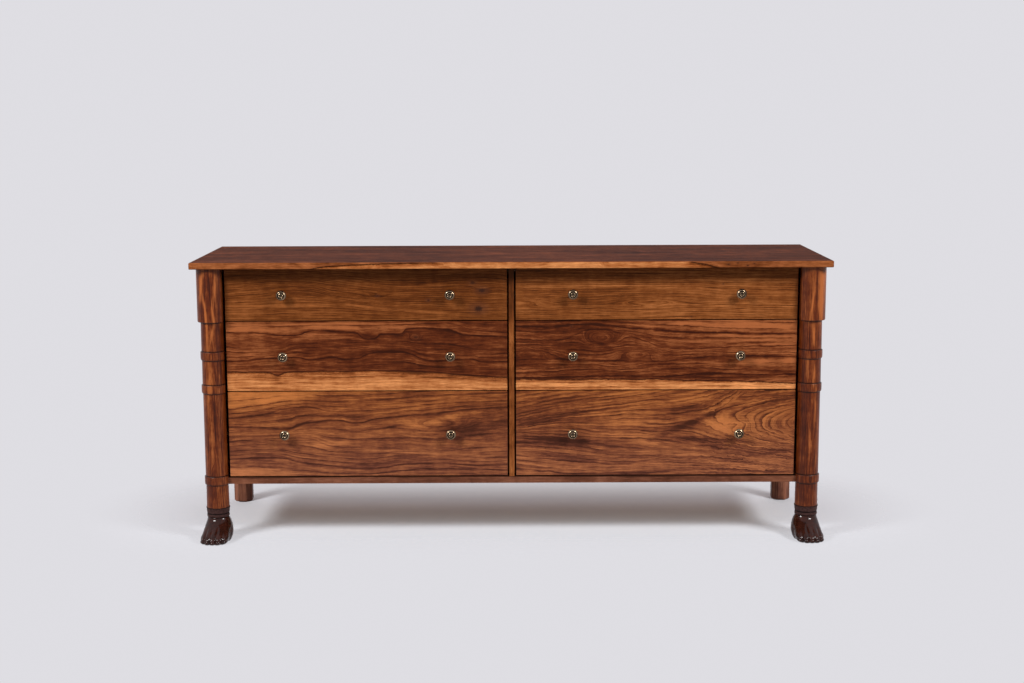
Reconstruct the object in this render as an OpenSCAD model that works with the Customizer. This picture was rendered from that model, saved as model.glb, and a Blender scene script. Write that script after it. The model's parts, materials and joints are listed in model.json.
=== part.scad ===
// Dresser of six drawers: turned front columns on carved paw feet, octagonal rear legs,
// panelled case and side-hung drawers. Millimetres, +Z up, the front faces -Y.
// The origin is on the floor, under the middle of the whole piece.

/* [Overall size] */
// Width of the top board
top_w = 1829; // [1500:1:2200]
// Depth of the top board, front edge to back edge
top_d = 508; // [440:1:620]
// Height from the floor to the top surface
total_h = 816; // [780:1:920]
// Thickness of the top board
top_t = 19; // [15:1:30]
// How far the top board stands past the column capitals at the front and the sides
overhang = 11; // [4:1:30]

/* [Columns] */
// Radius of the plain capital under the top board
capital_r = 41; // [37:0.5:44]
// Height of the capital
capital_h = 155; // [90:1:190]
// Radius of the shaft where it meets the capital
shaft_top_r = 33; // [30:0.1:34]
// Radius of the shaft where it meets the foot
shaft_foot_r = 32.8; // [28:0.1:33]
// Radius of the three turned rings
ring_r = 35.9; // [34.5:0.1:36.5]
// Height of each turned ring
ring_h = 25.5; // [18:0.5:32]
// Distance from the underside of the top board down to the upper ring
upper_ring_drop = 241; // [225:1:280]
// Distance from the underside of the top board down to the middle ring
middle_ring_drop = 338; // [315:1:400]
// Distance from the column's axis to the flat that faces the drawers
flat_offset = 33; // [31:0.5:35]

/* [Feet] */
// Height of a carved foot, floor to the end of the column
foot_h = 95; // [88:1:108]
// Height of the two ankle bands over the paw
ankle_h = 30; // [25:1:38]
// Reach of the toes in front of the column's axis
toe_reach = 92; // [70:1:110]
// Reach of the heel behind the column's axis
heel_reach = 33; // [28:1:45]
// Half the width of the paw at its widest
paw_half_w = 45; // [38:1:52]
// How far the middle of the paw swells towards the inside
inner_swell = 4; // [0:0.5:8]
// Number of toes on each paw
toe_count = 5; // [3:1:6]
// Depth of the grooves between the toes
toe_groove = 6; // [1:0.5:9]
// Turn of each paw away from straight ahead, in degrees
paw_turn = 4; // [0:1:15]
// Radius of the ankle band at its flared upper edge
ankle_r = 34.4; // [33:0.1:36]
// Radius of the dowel that joins a foot to its column
dowel_r = 12; // [8:0.5:15]
// Length of the dowel inside the column
dowel_l = 35; // [20:1:50]

/* [Rear legs] */
// Width of a rear leg across its flats
leg_af = 57; // [48:1:64]
// Depth of the eased edge at the floor end of a rear leg
leg_ease = 4; // [1:0.5:6]

/* [Case] */
// Height of the rail under the drawers
rail_h = 20; // [16:1:30]
// Depth of the rail under the drawers
rail_d = 44; // [30:1:60]
// Thickness of the side panels
panel_t = 18; // [14:1:24]
// Thickness of the back panel
back_t = 9.5; // [6:0.5:14]
// Thickness of the bottom board inside the case
floor_t = 12; // [8:1:15]
// Width of the stile between the two banks of drawers
stile_w = 15; // [12:1:30]
// Thickness of the flat rails that hold the top board
top_rail_t = 19; // [14:1:24]
// Depth of the flat rails that hold the top board
top_rail_d = 50; // [35:1:80]
// Depth of the housings that rails and the bottom board take in the side panels
housing = 6; // [3:0.5:8]
// Length of the stub tenons on the bottom rail
tenon_l = 24; // [15:1:28]
// Height of the stub tenons on the bottom rail
tenon_h = 10; // [6:1:13]
// Width of the stub tenons, front to back
tenon_w = 10; // [6:1:12]
// Play in a glued joint
glue_gap = 0.1; // [0.05:0.05:0.3]

/* [Drawers] */
// Height of the top row of drawer fronts
top_row_h = 150; // [120:1:160]
// Height of the middle row of drawer fronts
middle_row_h = 202; // [170:1:215]
// Height of the bottom row of drawer fronts
bottom_row_h = 250; // [210:1:262]
// Gap above and below each drawer front
row_gap = 3; // [2:0.5:5]
// Gap between a drawer front and the flat of the column
side_gap = 7; // [3:0.5:12]
// Gap between a drawer front and the middle stile
stile_gap = 5; // [2:0.5:8]
// How far the drawer faces stand in front of the column's axis
face_advance = 8; // [0:1:20]
// Thickness of a drawer front
front_t = 22; // [18:1:26]
// Thickness of a drawer's sides
side_t = 13; // [12:0.5:18]
// Thickness of a drawer's back
drawer_back_t = 12; // [9:0.5:16]
// Thickness of a drawer's bottom
drawer_bottom_t = 6; // [4:0.5:9]
// Height of a drawer's side edge above the lower edge of its front
side_rise = 6; // [3:0.5:12]
// Space left over the drawer sides, under the flat rails
top_clear = 4; // [2:0.5:10]
// Height of the drawer bottom above the lower edge of the drawer sides
bottom_rise = 8; // [6:0.5:14]
// Depth of the grooves that hold the drawer bottom
bottom_groove = 6; // [4:0.5:6]
// Distance from the back of a drawer's sides to its back board
tail_room = 12; // [6:1:25]
// Depth of the housing that holds the drawer's back board in the sides
back_housing = 5; // [3:0.5:6]
// Space between the drawers and the back panel
rear_clear = 14; // [8:1:30]
// Distance between dovetails, measured from one to the next
tail_pitch = 42; // [30:1:60]
// Wood left in front of the dovetails
tail_lap = 8; // [6:0.5:10]
// Slope of a dovetail, in degrees
tail_slope = 8; // [4:1:12]

/* [Runners] */
// Height of a drawer runner
runner_h = 16; // [10:1:22]
// Depth of the groove that a runner takes in a drawer's side
runner_groove = 6.5; // [4:0.5:6.5]
// Play between a runner and the bottom of its groove, and at its stopped end
runner_play = 0.5; // [0.3:0.1:1]
// Play over a runner, where the drawer is carried
runner_play_above = 0.3; // [0.2:0.1:0.6]
// Play under a runner
runner_play_below = 1; // [0.5:0.1:2]

/* [Knobs] */
// Radius of a knob's head
knob_r = 15; // [11:0.5:19]
// Distance that a knob stands out from the drawer face
knob_out = 26; // [18:0.5:34]
// Radius of a knob's foot on the drawer face
knob_foot_r = 8; // [6:0.5:11]
// Radius of a knob's neck
knob_neck_r = 4.5; // [3.5:0.5:5.5]
// Distance from the end of a drawer front to the knob
knob_inset = 164; // [60:1:240]
// Radius of a knob's screw
screw_r = 2; // [1.5:0.1:2.5]
// Radius of a knob's screw head
screw_head_r = 4.5; // [3.5:0.1:6]
// Thickness of a knob's screw head
screw_head_t = 3; // [2:0.1:4]
// Length of a knob's screw inside the knob
screw_bite = 12; // [8:0.5:14]

/* [Fixings] */
// Play round a screw
screw_play = 0.15; // [0.1:0.05:0.3]
// Depth that a top screw reaches into the top board
top_screw_bite = 12; // [6:0.5:13]
// Number of screws along each flat rail
top_screw_count = 4; // [2:1:8]
// Distance from a column's axis to the outermost top screw
top_screw_inset = 90; // [60:1:250]

/* [Hidden] */
ROWS = ["top", "middle", "bottom"];
SIDES = [["left", -1], ["right", 1]];
DRAWER_PIECES = ["front", "outer_side", "inner_side", "back", "bottom", "knobs", "knob_screws"];
SIDE_PIECES = ["column", "paw_foot", "rear_leg", "side_panel"];
CASE_PIECES = [
    "top_board", "bottom_rail", "bottom_board", "back_panel", "top_front_rail",
    "top_back_rail", "centre_stile", "centre_divider", "drawer_runners", "top_screws"
];

$fn = 96;
eps = 0.01;
overcut = 1;

walnut = [0.42, 0.23, 0.13];
top_walnut = [0.36, 0.21, 0.15];
column_walnut = [0.36, 0.18, 0.11];
paw_brown = [0.16, 0.07, 0.04];
box_wood = [0.72, 0.56, 0.38];
brass_colour = [0.62, 0.52, 0.34];
steel_colour = [0.62, 0.62, 0.6];
row_colours = [[0.5, 0.3, 0.15], [0.44, 0.22, 0.12], [0.46, 0.25, 0.14]];

// Height of the paw under the ankle bands
paw_h = foot_h - ankle_h;
// Least radius of the ankle bands, and radius of the paw where it leaves them
ankle_low_r = 32.6;
neck_inset = 1.6;
neck_r = ankle_low_r - neck_inset;
// Rings down the paw and points round each ring
paw_rings = 24;
paw_steps = 90;
// Half angle of the front that the toes share, and the angle over which their grooves fade out
toe_spread = 88;
toe_fade = 24;
// Power of the curve round the front of the sole: 2 is an ellipse, more is squarer
front_power = 2.7;
// Share of the paw's height at which its toes start to round under, and the same for its heel
toe_share = 0.86;
heel_share = 0.62;
sole_tuck = 5;
// Share of the paw's height at which the grooves begin, and over which they reach full depth
groove_start = 0.18;
groove_run = 0.7;
// Height on the paw, spread and thickness of the knuckles
knuckle_at = 0.74;
knuckle_spread = 0.07;
knuckle_rise = 2;
paw_points = [for (k = [0:paw_rings], j = [0:paw_steps - 1]) paw_point(k, j)];
// The furthest that the turned paw reaches in front of the column's axis
paw_front = max([for (p = paw_points) -p[0] * sin(paw_turn) - p[1] * cos(paw_turn)]);

under_top = total_h - top_t;
axis_setback = overhang + capital_r;
toe_out = max(0, paw_front - axis_setback);
front_y = (toe_out - top_d) / 2;
back_y = front_y + top_d;
col_x = top_w / 2 - axis_setback;
col_y = front_y + axis_setback;
flat_x = col_x - flat_offset;
face_y = col_y - face_advance;

row_heights = [top_row_h, middle_row_h, bottom_row_h];
function row_top(i) = i == 0 ? under_top - row_gap : row_bottom(i - 1) - row_gap;
function row_bottom(i) = row_top(i) - row_heights[i];
rail_top = row_bottom(2) - row_gap;
case_z = rail_top - rail_h;

leg_y = back_y - leg_af / 2;
leg_front_y = back_y - leg_af;
leg_inner_x = col_x - leg_af / 2;
panel_in_x = col_x - panel_t / 2;
panel_out_x = col_x + panel_t / 2;
panel_front_y = col_y + shaft_foot_r / 2;
// Depth of the grooves in a rear leg for the side panel and for the back panel
side_tongue = 11;
back_tongue = 8;
panel_back_y = leg_front_y + side_tongue;
back_face_y = leg_y - back_t / 2;
rail_back_y = face_y + rail_d;
top_rail_z = under_top - top_rail_t;
top_rail_y = col_y + capital_r + overcut;

drawer_in_x = stile_w / 2 + stile_gap;
drawer_out_x = flat_x - side_gap;
side_inset = 0.5;
box_in_x = drawer_in_x + side_inset;
box_out_x = drawer_out_x - side_inset;
front_back_y = face_y + front_t;
box_back_y = back_face_y - rear_clear;
side_drop = top_rail_t + top_clear - row_gap;
tail_l = front_t - tail_lap;
divider_front_y = front_back_y;
back_board_y = box_back_y - tail_room - drawer_back_t;

function side_bottom(i) = row_bottom(i) + side_rise;
function side_top(i) = row_top(i) - side_drop;
function bottom_z(i) = side_bottom(i) + bottom_rise;
function runner_z(i) = (side_bottom(i) + side_top(i)) / 2;
function knob_z(i) = (row_bottom(i) + row_top(i)) / 2;
knob_xs = [drawer_in_x + knob_inset, drawer_out_x - knob_inset];

runner_front_y = top_rail_y;
runner_back_y = leg_front_y - glue_gap;

// Mirrors its children to the named side; they are drawn on the right, at +X.
module on_side(s) {
    if (s < 0) mirror([1, 0, 0]) children();
    else children();
}

// A board between two opposite corners.
module board(lo, hi) {
    translate(lo) cube(hi - lo);
}

// A rod along +Y from the given point.
module rod_y(at, r, l) {
    translate(at) rotate([-90, 0, 0]) cylinder(h = l, r = r);
}

// Turned columns

function shaft_r(z) =
    shaft_foot_r + (shaft_top_r - shaft_foot_r) * (z - foot_h) / (under_top - capital_h - foot_h);

ring_lip = 2.6;
ring_taper_h = 7;
quirk = 0.7;

// Outline of one ring, going up: a tapered lower edge, a band, a rounded upper edge and a quirk.
function ring_outline(z) = concat(
    [[shaft_r(z) - quirk, z - quirk], [shaft_r(z) + quirk, z]],
    [for (a = [0:30:90]) [
        ring_r - (ring_r - shaft_r(z) - quirk) * (1 - sin(a)), z + ring_taper_h * (1 - cos(a))
    ]],
    [for (a = [0:22.5:90]) [ring_r - ring_lip * (1 - cos(a)), z + ring_h - ring_lip * (1 - sin(a))]],
    [[shaft_r(z) - quirk, z + ring_h], [shaft_r(z), z + ring_h + 2 * quirk]]
);

capital_lip = 2;

// Outline of the capital, going up from its lower edge.
function capital_outline(z) = concat(
    [[shaft_r(z) - quirk, z]],
    [for (a = [0:30:90]) [capital_r - capital_lip * (1 - sin(a)), z + capital_lip * (1 - cos(a))]],
    [[capital_r, under_top]]
);

column_outline = concat(
    [[0, foot_h], [shaft_foot_r, foot_h]],
    ring_outline(case_z),
    ring_outline(under_top - middle_ring_drop - ring_h),
    ring_outline(under_top - upper_ring_drop - ring_h),
    capital_outline(under_top - capital_h),
    [[0, under_top]]
);

module column() {
    color(column_walnut) difference() {
        translate([col_x, col_y, 0]) rotate_extrude() polygon(column_outline);
        board([flat_x - capital_r, col_y - capital_r - overcut, case_z - overcut],
              [flat_x, col_y + capital_r + overcut, total_h]);
        board([panel_in_x - glue_gap, panel_front_y - glue_gap, case_z - eps],
              [panel_out_x + glue_gap, col_y + capital_r + overcut, total_h]);
        board([flat_x - overcut, tenon_y - glue_gap, tenon_z - glue_gap],
              [flat_x + tenon_l + glue_gap, tenon_y + tenon_w + glue_gap, tenon_z + tenon_h + glue_gap]);
        translate([col_x, col_y, foot_h - eps])
            cylinder(h = dowel_l + overcut, r = dowel_r + screw_play);
    }
}

// Carved paw feet

lower_band_share = 0.36;
lower_band_h = ankle_h * lower_band_share;
band_gap = 1.6;
band_ease = 0.6;
flare_share = 0.45;
flare_h = ankle_h * flare_share;
flare_lip = 2;
// Outline of the ankle: a plain lower band, a groove, and an upper band that flares at its top.
ankle_outline = [
    [0, paw_h - eps],
    [ankle_low_r - band_ease, paw_h - eps],
    [ankle_low_r, paw_h + lower_band_h / 2],
    [ankle_low_r - band_ease, paw_h + lower_band_h],
    [ankle_low_r - band_gap, paw_h + lower_band_h + band_gap / 2],
    [ankle_low_r - band_ease, paw_h + lower_band_h + band_gap],
    [ankle_low_r, foot_h - flare_h],
    [ankle_r - band_ease, foot_h - 2 * flare_lip],
    [ankle_r, foot_h - flare_lip],
    [ankle_r - band_ease, foot_h],
    [0, foot_h]
];

// Smooth start and end between 0 and 1, and the same for a value cut to that range.
function ease(t) = t * t * (3 - 2 * t);
function eased(t) = ease(min(1, max(0, t)));
// Share of the paw's full section reached at t, which runs from the ankle (0) to the sole (1).
function paw_grown(t) = eased(t / toe_share);
// Centre of the section ahead of the axis and towards the outside, its half length and half width.
function paw_shift(t) = (toe_reach - heel_reach) / 2 * paw_grown(t);
function paw_lean(t) = -4 * inner_swell * t * (1 - t);
function paw_half_l(t) = neck_r + ((toe_reach + heel_reach) / 2 - neck_r) * paw_grown(t);
function paw_half(t) = neck_r + (paw_half_w - neck_r) * sin(90 * min(1, t / toe_share));
// How far direction a, seen from the section's centre, is in the toes: 1 in front, 0 at the heel.
function in_toes(a) = eased((toe_spread - abs(a)) / toe_fade);
// Distance from the section's centre to its plain outline in direction a, 0 being straight ahead.
function paw_plain_r(a, t) =
    let (n = abs(a) < 90 ? 2 + (front_power - 2) * paw_grown(t) : 2)
    pow(pow(abs(sin(a)) / paw_half(t), n) + pow(abs(cos(a)) / paw_half_l(t), n), -1 / n);
// Share of the groove depth at direction a: 0 on the crest of a toe, 1 between two toes.
function toe_valley(a, t) =
    let (
        phase = toe_count * (paw_plain_r(a, t) * sin(a) / paw_half(t) + 1) / 2,
        off_crest = abs(2 * (phase - floor(phase)) - 1)
    )
    pow(off_crest, 1 + 1.5 * t) * in_toes(a);
// Grooves deepen towards the sole; knuckles stand out on the crests.
function groove(a, t) = toe_groove * eased((t - groove_start) / groove_run) * toe_valley(a, t);
function knuckle(a, t) =
    knuckle_rise * exp(-pow((t - knuckle_at) / knuckle_spread, 2)) * (in_toes(a) - toe_valley(a, t));
// The toes and the heel are rounded under, near the floor.
function tuck(a, t) =
    let (share = heel_share + (toe_share - heel_share) * in_toes(a))
    sole_tuck * pow(max(0, t - share) / (1 - share), 2);
function paw_r(a, t) = paw_plain_r(a, t) - groove(a, t) + knuckle(a, t) - tuck(a, t);
// Point j of ring k, on the right paw; the outside is +X and the front is -Y.
function paw_point(k, j) =
    let (
        a = (j * 360) / paw_steps - 180,
        t = k / paw_rings,
        r = paw_r(a, t)
    )
    [r * sin(a) + paw_lean(t), -r * cos(a) - paw_shift(t), paw_h * (1 - t)];

module paw() {
    points = concat(paw_points, [[0, 0, paw_h], [0, 0, 0]]);
    crown = (paw_rings + 1) * paw_steps;
    sole = crown + 1;
    last = paw_rings * paw_steps;
    faces = concat(
        [for (k = [0:paw_rings - 1], j = [0:paw_steps - 1])
            let (n = (j + 1) % paw_steps, u = k * paw_steps, d = u + paw_steps) [u + j, d + n, d + j]],
        [for (k = [0:paw_rings - 1], j = [0:paw_steps - 1])
            let (n = (j + 1) % paw_steps, u = k * paw_steps, d = u + paw_steps) [u + j, u + n, d + n]],
        [for (j = [0:paw_steps - 1]) [crown, (j + 1) % paw_steps, j]],
        [for (j = [0:paw_steps - 1]) [sole, last + j, last + (j + 1) % paw_steps]]
    );
    polyhedron(points = points, faces = faces);
}

module paw_foot() {
    color(paw_brown) translate([col_x, col_y, 0]) {
        rotate([0, 0, paw_turn]) paw();
        rotate_extrude() polygon(ankle_outline);
        translate([0, 0, foot_h - overcut]) cylinder(h = dowel_l + overcut, r = dowel_r);
    }
}

// Rear legs

leg_faces = 8;
leg_turn = 360 / leg_faces;

module rear_leg() {
    color(walnut) difference() {
        translate([col_x, leg_y, 0]) rotate([0, 0, leg_turn / 2])
            cylinder(h = under_top, r = leg_af / 2 / cos(leg_turn / 2), $fn = leg_faces);
        // The eased edge round the floor end, one cut for each face.
        for (k = [0:leg_faces - 1]) translate([col_x, leg_y, 0]) rotate([0, 0, k * leg_turn])
            translate([leg_af / 2 - leg_ease, 0, 0]) rotate([0, 45, 0])
                translate([0, -leg_af / 2, -2 * leg_ease]) cube([3 * leg_ease, leg_af, 4 * leg_ease]);
        board([panel_in_x - glue_gap, leg_front_y - overcut, case_z - glue_gap],
              [panel_out_x + glue_gap, panel_back_y + glue_gap, total_h]);
        board([leg_inner_x - overcut, back_face_y - glue_gap, case_z - glue_gap],
              [leg_inner_x + back_tongue + glue_gap, back_face_y + back_t + glue_gap, total_h]);
    }
}

// Case

tenon_z = case_z + (rail_h - tenon_h) / 2;
tenon_y = col_y - tenon_w / 2;

module side_panel() {
    color(walnut) difference() {
        board([panel_in_x, panel_front_y, case_z], [panel_out_x, panel_back_y, under_top]);
        board([panel_in_x - overcut, top_rail_y - glue_gap, top_rail_z - glue_gap],
              [panel_in_x + housing + glue_gap, top_rail_y + top_rail_d + glue_gap, total_h]);
        board([panel_in_x - overcut, back_face_y - top_rail_d - glue_gap, top_rail_z - glue_gap],
              [panel_in_x + housing + glue_gap, leg_front_y, total_h]);
        board([panel_in_x - overcut, rail_back_y - glue_gap, rail_top - floor_t - glue_gap],
              [panel_in_x + housing + glue_gap, leg_front_y, rail_top + glue_gap]);
    }
}

module bottom_rail() {
    color(walnut) difference() {
        union() {
            board([-flat_x + glue_gap, face_y, case_z], [flat_x - glue_gap, rail_back_y, rail_top]);
            for (s = [-1, 1]) on_side(s)
                board([flat_x - overcut, tenon_y, tenon_z],
                      [flat_x + tenon_l, tenon_y + tenon_w, tenon_z + tenon_h]);
        }
        board([-stile_w / 2 - glue_gap, stile_stub_y - glue_gap, rail_top - stile_stub],
              [stile_w / 2 + glue_gap, stile_stub_y + stile_stub_t + glue_gap, rail_top + overcut]);
        board([-flat_x - overcut, rail_back_y - housing, floor_tongue_z - glue_gap],
              [flat_x + overcut, rail_back_y + overcut, floor_tongue_z + floor_tongue_t + glue_gap]);
    }
}

// Stub of the stile in the rail, tongue of the bottom board, and stub of the divider in it
stile_stub = 8;
stile_stub_t = front_t / 2;
stile_stub_y = face_y + (front_t - stile_stub_t) / 2;
floor_tongue_t = floor_t / 2;
floor_tongue_z = rail_top - (floor_t + floor_tongue_t) / 2;
divider_stub = 4;

module bottom_board() {
    color(box_wood) difference() {
        union() {
            board([-panel_in_x - housing, rail_back_y, rail_top - floor_t],
                  [panel_in_x + housing, leg_front_y - glue_gap, rail_top]);
            board([-leg_inner_x + glue_gap, leg_front_y - overcut, rail_top - floor_t],
                  [leg_inner_x - glue_gap, back_face_y - glue_gap, rail_top]);
            board([-flat_x + glue_gap, rail_back_y - housing + glue_gap, floor_tongue_z],
                  [flat_x - glue_gap, rail_back_y + overcut, floor_tongue_z + floor_tongue_t]);
        }
        board([-stile_w / 2 - glue_gap, rail_back_y, rail_top - divider_stub],
              [stile_w / 2 + glue_gap, back_face_y + overcut, rail_top + overcut]);
    }
}

module back_panel() {
    color(box_wood)
        board([-leg_inner_x - back_tongue, back_face_y, case_z],
              [leg_inner_x + back_tongue, back_face_y + back_t, under_top]);
}

top_screw_x = col_x - top_screw_inset;
top_screw_xs = [for (i = [0:top_screw_count - 1])
    -top_screw_x + 2 * top_screw_x * i / (top_screw_count - 1)];
front_screw_y = top_rail_y + top_rail_d / 2;
back_screw_y = back_face_y - top_rail_d / 2;

// One wood screw from under a flat rail up into the top board, made larger by play.
module top_screw(y, play) {
    for (x = top_screw_xs) translate([x, y, top_rail_z - eps]) {
        cylinder(h = top_rail_t + top_screw_bite + play, r = screw_r + play);
        cylinder(h = screw_head_t, r1 = screw_head_r + play, r2 = screw_r + play);
    }
}

module top_front_rail() {
    color(box_wood) difference() {
        board([-panel_in_x - housing, top_rail_y, top_rail_z],
              [panel_in_x + housing, top_rail_y + top_rail_d, under_top]);
        top_screw(front_screw_y, screw_play);
    }
}

module top_back_rail() {
    color(box_wood) difference() {
        union() {
            board([-panel_in_x - housing, back_face_y - top_rail_d, top_rail_z],
                  [panel_in_x + housing, leg_front_y - glue_gap, under_top]);
            board([-leg_inner_x + glue_gap, back_face_y - top_rail_d, top_rail_z],
                  [leg_inner_x - glue_gap, back_face_y - glue_gap, under_top]);
        }
        top_screw(back_screw_y, screw_play);
    }
}

module top_screws() {
    color(steel_colour) {
        top_screw(front_screw_y, 0);
        top_screw(back_screw_y, 0);
    }
}

module top_board() {
    color(top_walnut) difference() {
        board([-top_w / 2, front_y, under_top], [top_w / 2, back_y, total_h]);
        top_screw(front_screw_y, screw_play);
        top_screw(back_screw_y, screw_play);
    }
}

module centre_stile() {
    color(walnut) {
        board([-stile_w / 2, face_y, rail_top], [stile_w / 2, front_back_y, under_top]);
        board([-stile_w / 2, stile_stub_y, rail_top - stile_stub + glue_gap],
              [stile_w / 2, stile_stub_y + stile_stub_t, rail_top + overcut]);
    }
}

module centre_divider() {
    color(box_wood) {
        board([-stile_w / 2, divider_front_y, rail_top], [stile_w / 2, back_face_y - glue_gap, top_rail_z]);
        board([-stile_w / 2, rail_back_y + glue_gap, rail_top - divider_stub + glue_gap],
              [stile_w / 2, back_face_y - glue_gap, rail_top + overcut]);
    }
}

// The pair of runners of one drawer: one on the side panel, one on the divider.
module runner_pair(i) {
    z = runner_z(i) - runner_h / 2;
    board([box_out_x - runner_groove + runner_play, runner_front_y, z],
          [panel_in_x, runner_back_y, z + runner_h]);
    board([stile_w / 2, runner_front_y, z],
          [box_in_x + runner_groove - runner_play, runner_back_y, z + runner_h]);
}

module drawer_runners() {
    color(box_wood) for (s = [-1, 1], i = [0:2]) on_side(s) runner_pair(i);
}

// Drawers

function tail_total(i) = max(2, round((side_top(i) - side_bottom(i)) / tail_pitch));

// Half the width of a dovetail at its shoulder, as a share of the pitch
tail_share = 0.24;

// The dovetails of one drawer side, from its shoulder forward, across the given width.
module tails(i, x_lo, x_hi, play) {
    n = tail_total(i);
    pitch = (side_top(i) - side_bottom(i)) / n;
    root = pitch * tail_share + play;
    tip = root + tail_l * tan(tail_slope);
    for (k = [0:n - 1]) {
        z = side_bottom(i) + pitch * (k + 0.5);
        translate([x_lo, 0, 0]) rotate([90, 0, 90]) linear_extrude(height = x_hi - x_lo)
            polygon([
                [front_back_y + overcut, z - root],
                [front_back_y, z - root],
                [front_back_y - tail_l - play, z - tip],
                [front_back_y - tail_l - play, z + tip],
                [front_back_y, z + root],
                [front_back_y + overcut, z + root]
            ]);
    }
}

module drawer_front(i, s) {
    color(row_colours[i]) on_side(s) difference() {
        board([drawer_in_x, face_y, row_bottom(i)], [drawer_out_x, front_back_y, row_top(i)]);
        tails(i, drawer_in_x - overcut, box_in_x + side_t + glue_gap, glue_gap);
        tails(i, box_out_x - side_t - glue_gap, drawer_out_x + overcut, glue_gap);
        board([box_in_x + side_t - bottom_groove - glue_gap, front_back_y - bottom_groove - glue_gap,
               bottom_z(i) - glue_gap],
              [box_out_x - side_t + bottom_groove + glue_gap, front_back_y + overcut,
               bottom_z(i) + drawer_bottom_t + glue_gap]);
        for (x = knob_xs) {
            rod_y([x, face_y - overcut, knob_z(i)], screw_r + screw_play, front_t + 2 * overcut);
            rod_y([x, front_back_y - screw_head_t - overcut, knob_z(i)],
                  screw_head_r + 3 * screw_play, screw_head_t + 2 * overcut);
        }
    }
}

// One side of a drawer; end is 1 for the side next to the column and -1 for the one by the stile.
module drawer_side(i, s, end) {
    outside = end > 0 ? box_out_x : box_in_x;
    inside = outside - end * side_t;
    lo = min(outside, inside);
    hi = max(outside, inside);
    groove_floor = outside - end * runner_groove;
    bottom_floor = inside + end * bottom_groove;
    back_floor = inside + end * back_housing;
    color(box_wood) on_side(s) difference() {
        union() {
            board([lo, front_back_y, side_bottom(i)], [hi, box_back_y, side_top(i)]);
            tails(i, lo, hi, 0);
        }
        board([min(groove_floor, outside + end), runner_front_y - runner_play,
               runner_z(i) - runner_h / 2 - runner_play_below],
              [max(groove_floor, outside + end), box_back_y + overcut,
               runner_z(i) + runner_h / 2 + runner_play_above]);
        board([min(bottom_floor, inside - end), front_back_y - tail_l - overcut, bottom_z(i) - glue_gap],
              [max(bottom_floor, inside - end), box_back_y + overcut,
               bottom_z(i) + drawer_bottom_t + glue_gap]);
        board([min(back_floor, inside - end), back_board_y - glue_gap, bottom_z(i)],
              [max(back_floor, inside - end), back_board_y + drawer_back_t + glue_gap,
               side_top(i) + overcut]);
    }
}

module drawer_back(i, s) {
    color(box_wood) on_side(s)
        board([box_in_x + side_t - back_housing + glue_gap, back_board_y,
               bottom_z(i) + drawer_bottom_t + glue_gap],
              [box_out_x - side_t + back_housing - glue_gap, back_board_y + drawer_back_t,
               side_top(i)]);
}

module drawer_bottom(i, s) {
    color(box_wood) on_side(s)
        board([box_in_x + side_t - bottom_groove + glue_gap, front_back_y - bottom_groove + glue_gap,
               bottom_z(i)],
              [box_out_x - side_t + bottom_groove - glue_gap, box_back_y, bottom_z(i) + drawer_bottom_t]);
}

// Knobs

// Thickness of the foot plate, end of the cove above it, and length of the head
knob_plate_t = 1.6;
knob_cove = 5;
knob_head_t = 11;
// Width of the raised outer ring, depth of the dished face and of the hollow in its middle
knob_rim = 4.5;
knob_dish = 2.2;
knob_hollow = 3.2;
// Radii of the raised inner ring
knob_ring_out = knob_r * 0.54;
knob_ring_in = knob_r * 0.4;
knob_face_ease = 0.6;
// Outline of a knob, from the drawer face out to its ringed head: radius and distance out.
knob_outline = concat(
    [[0, 0], [knob_foot_r, 0], [knob_foot_r, knob_plate_t], [knob_neck_r, knob_cove]],
    [[knob_neck_r, knob_out - knob_head_t - 1], [knob_neck_r + 2, knob_out - knob_head_t + 1]],
    [for (a = [-60:20:60]) [
        knob_r - knob_head_t * 0.4 * (1 - cos(a)),
        knob_out - knob_head_t * (0.6 - 0.45 * sin(a))
    ]],
    [[knob_r - knob_rim + 1, knob_out], [knob_r - knob_rim, knob_out - knob_dish]],
    [[knob_ring_out, knob_out - knob_dish], [knob_ring_out - knob_face_ease, knob_out - knob_face_ease]],
    [[knob_ring_in, knob_out - knob_face_ease], [knob_ring_in - 1, knob_out - knob_hollow]],
    [[0, knob_out - knob_hollow]]
);

module drawer_knobs(i, s) {
    color(brass_colour) on_side(s) for (x = knob_xs) translate([x, face_y, knob_z(i)])
        rotate([90, 0, 0]) difference() {
            rotate_extrude() polygon(knob_outline);
            translate([0, 0, -overcut])
                cylinder(h = screw_bite + 2 * overcut, r = screw_r + screw_play);
        }
}

module drawer_knob_screws(i, s) {
    color(steel_colour) on_side(s) for (x = knob_xs) {
        rod_y([x, face_y - screw_bite, knob_z(i)], screw_r, screw_bite + front_t - overcut);
        rod_y([x, front_back_y - screw_head_t - overcut, knob_z(i)], screw_head_r, screw_head_t);
    }
}

// Drawing

top_board();
bottom_rail();
bottom_board();
back_panel();
top_front_rail();
top_back_rail();
centre_stile();
centre_divider();
drawer_runners();
top_screws();

for (side = SIDES) {
    name = side[0];
    on_side(side[1]) column();
    on_side(side[1]) paw_foot();
    on_side(side[1]) rear_leg();
    on_side(side[1]) side_panel();
}

for (i = [0:2], side = SIDES) {
    name = str(ROWS[i], "_", side[0], "_drawer_");
    s = side[1];
    drawer_front(i, s);
    drawer_side(i, s, 1);
    drawer_side(i, s, -1);
    drawer_back(i, s);
    drawer_bottom(i, s);
    drawer_knobs(i, s);
    drawer_knob_screws(i, s);
}
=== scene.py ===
"""A walnut dresser of six drawers in a plain pale studio.

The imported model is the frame. This script gives each of its pieces a finish, eases the edges of
its boards, and carves the two paw feet and turns the twelve knobs in full detail. Lengths are in
metres, and +Z is up; the figure of each board is given in millimetres along and across that board.
"""

from __future__ import annotations

import json
import logging
import math
from dataclasses import dataclass
from enum import Enum
from typing import Callable, Mapping, Sequence, Union

import bpy
import numpy as np
from mathutils import Matrix, Vector

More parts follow.
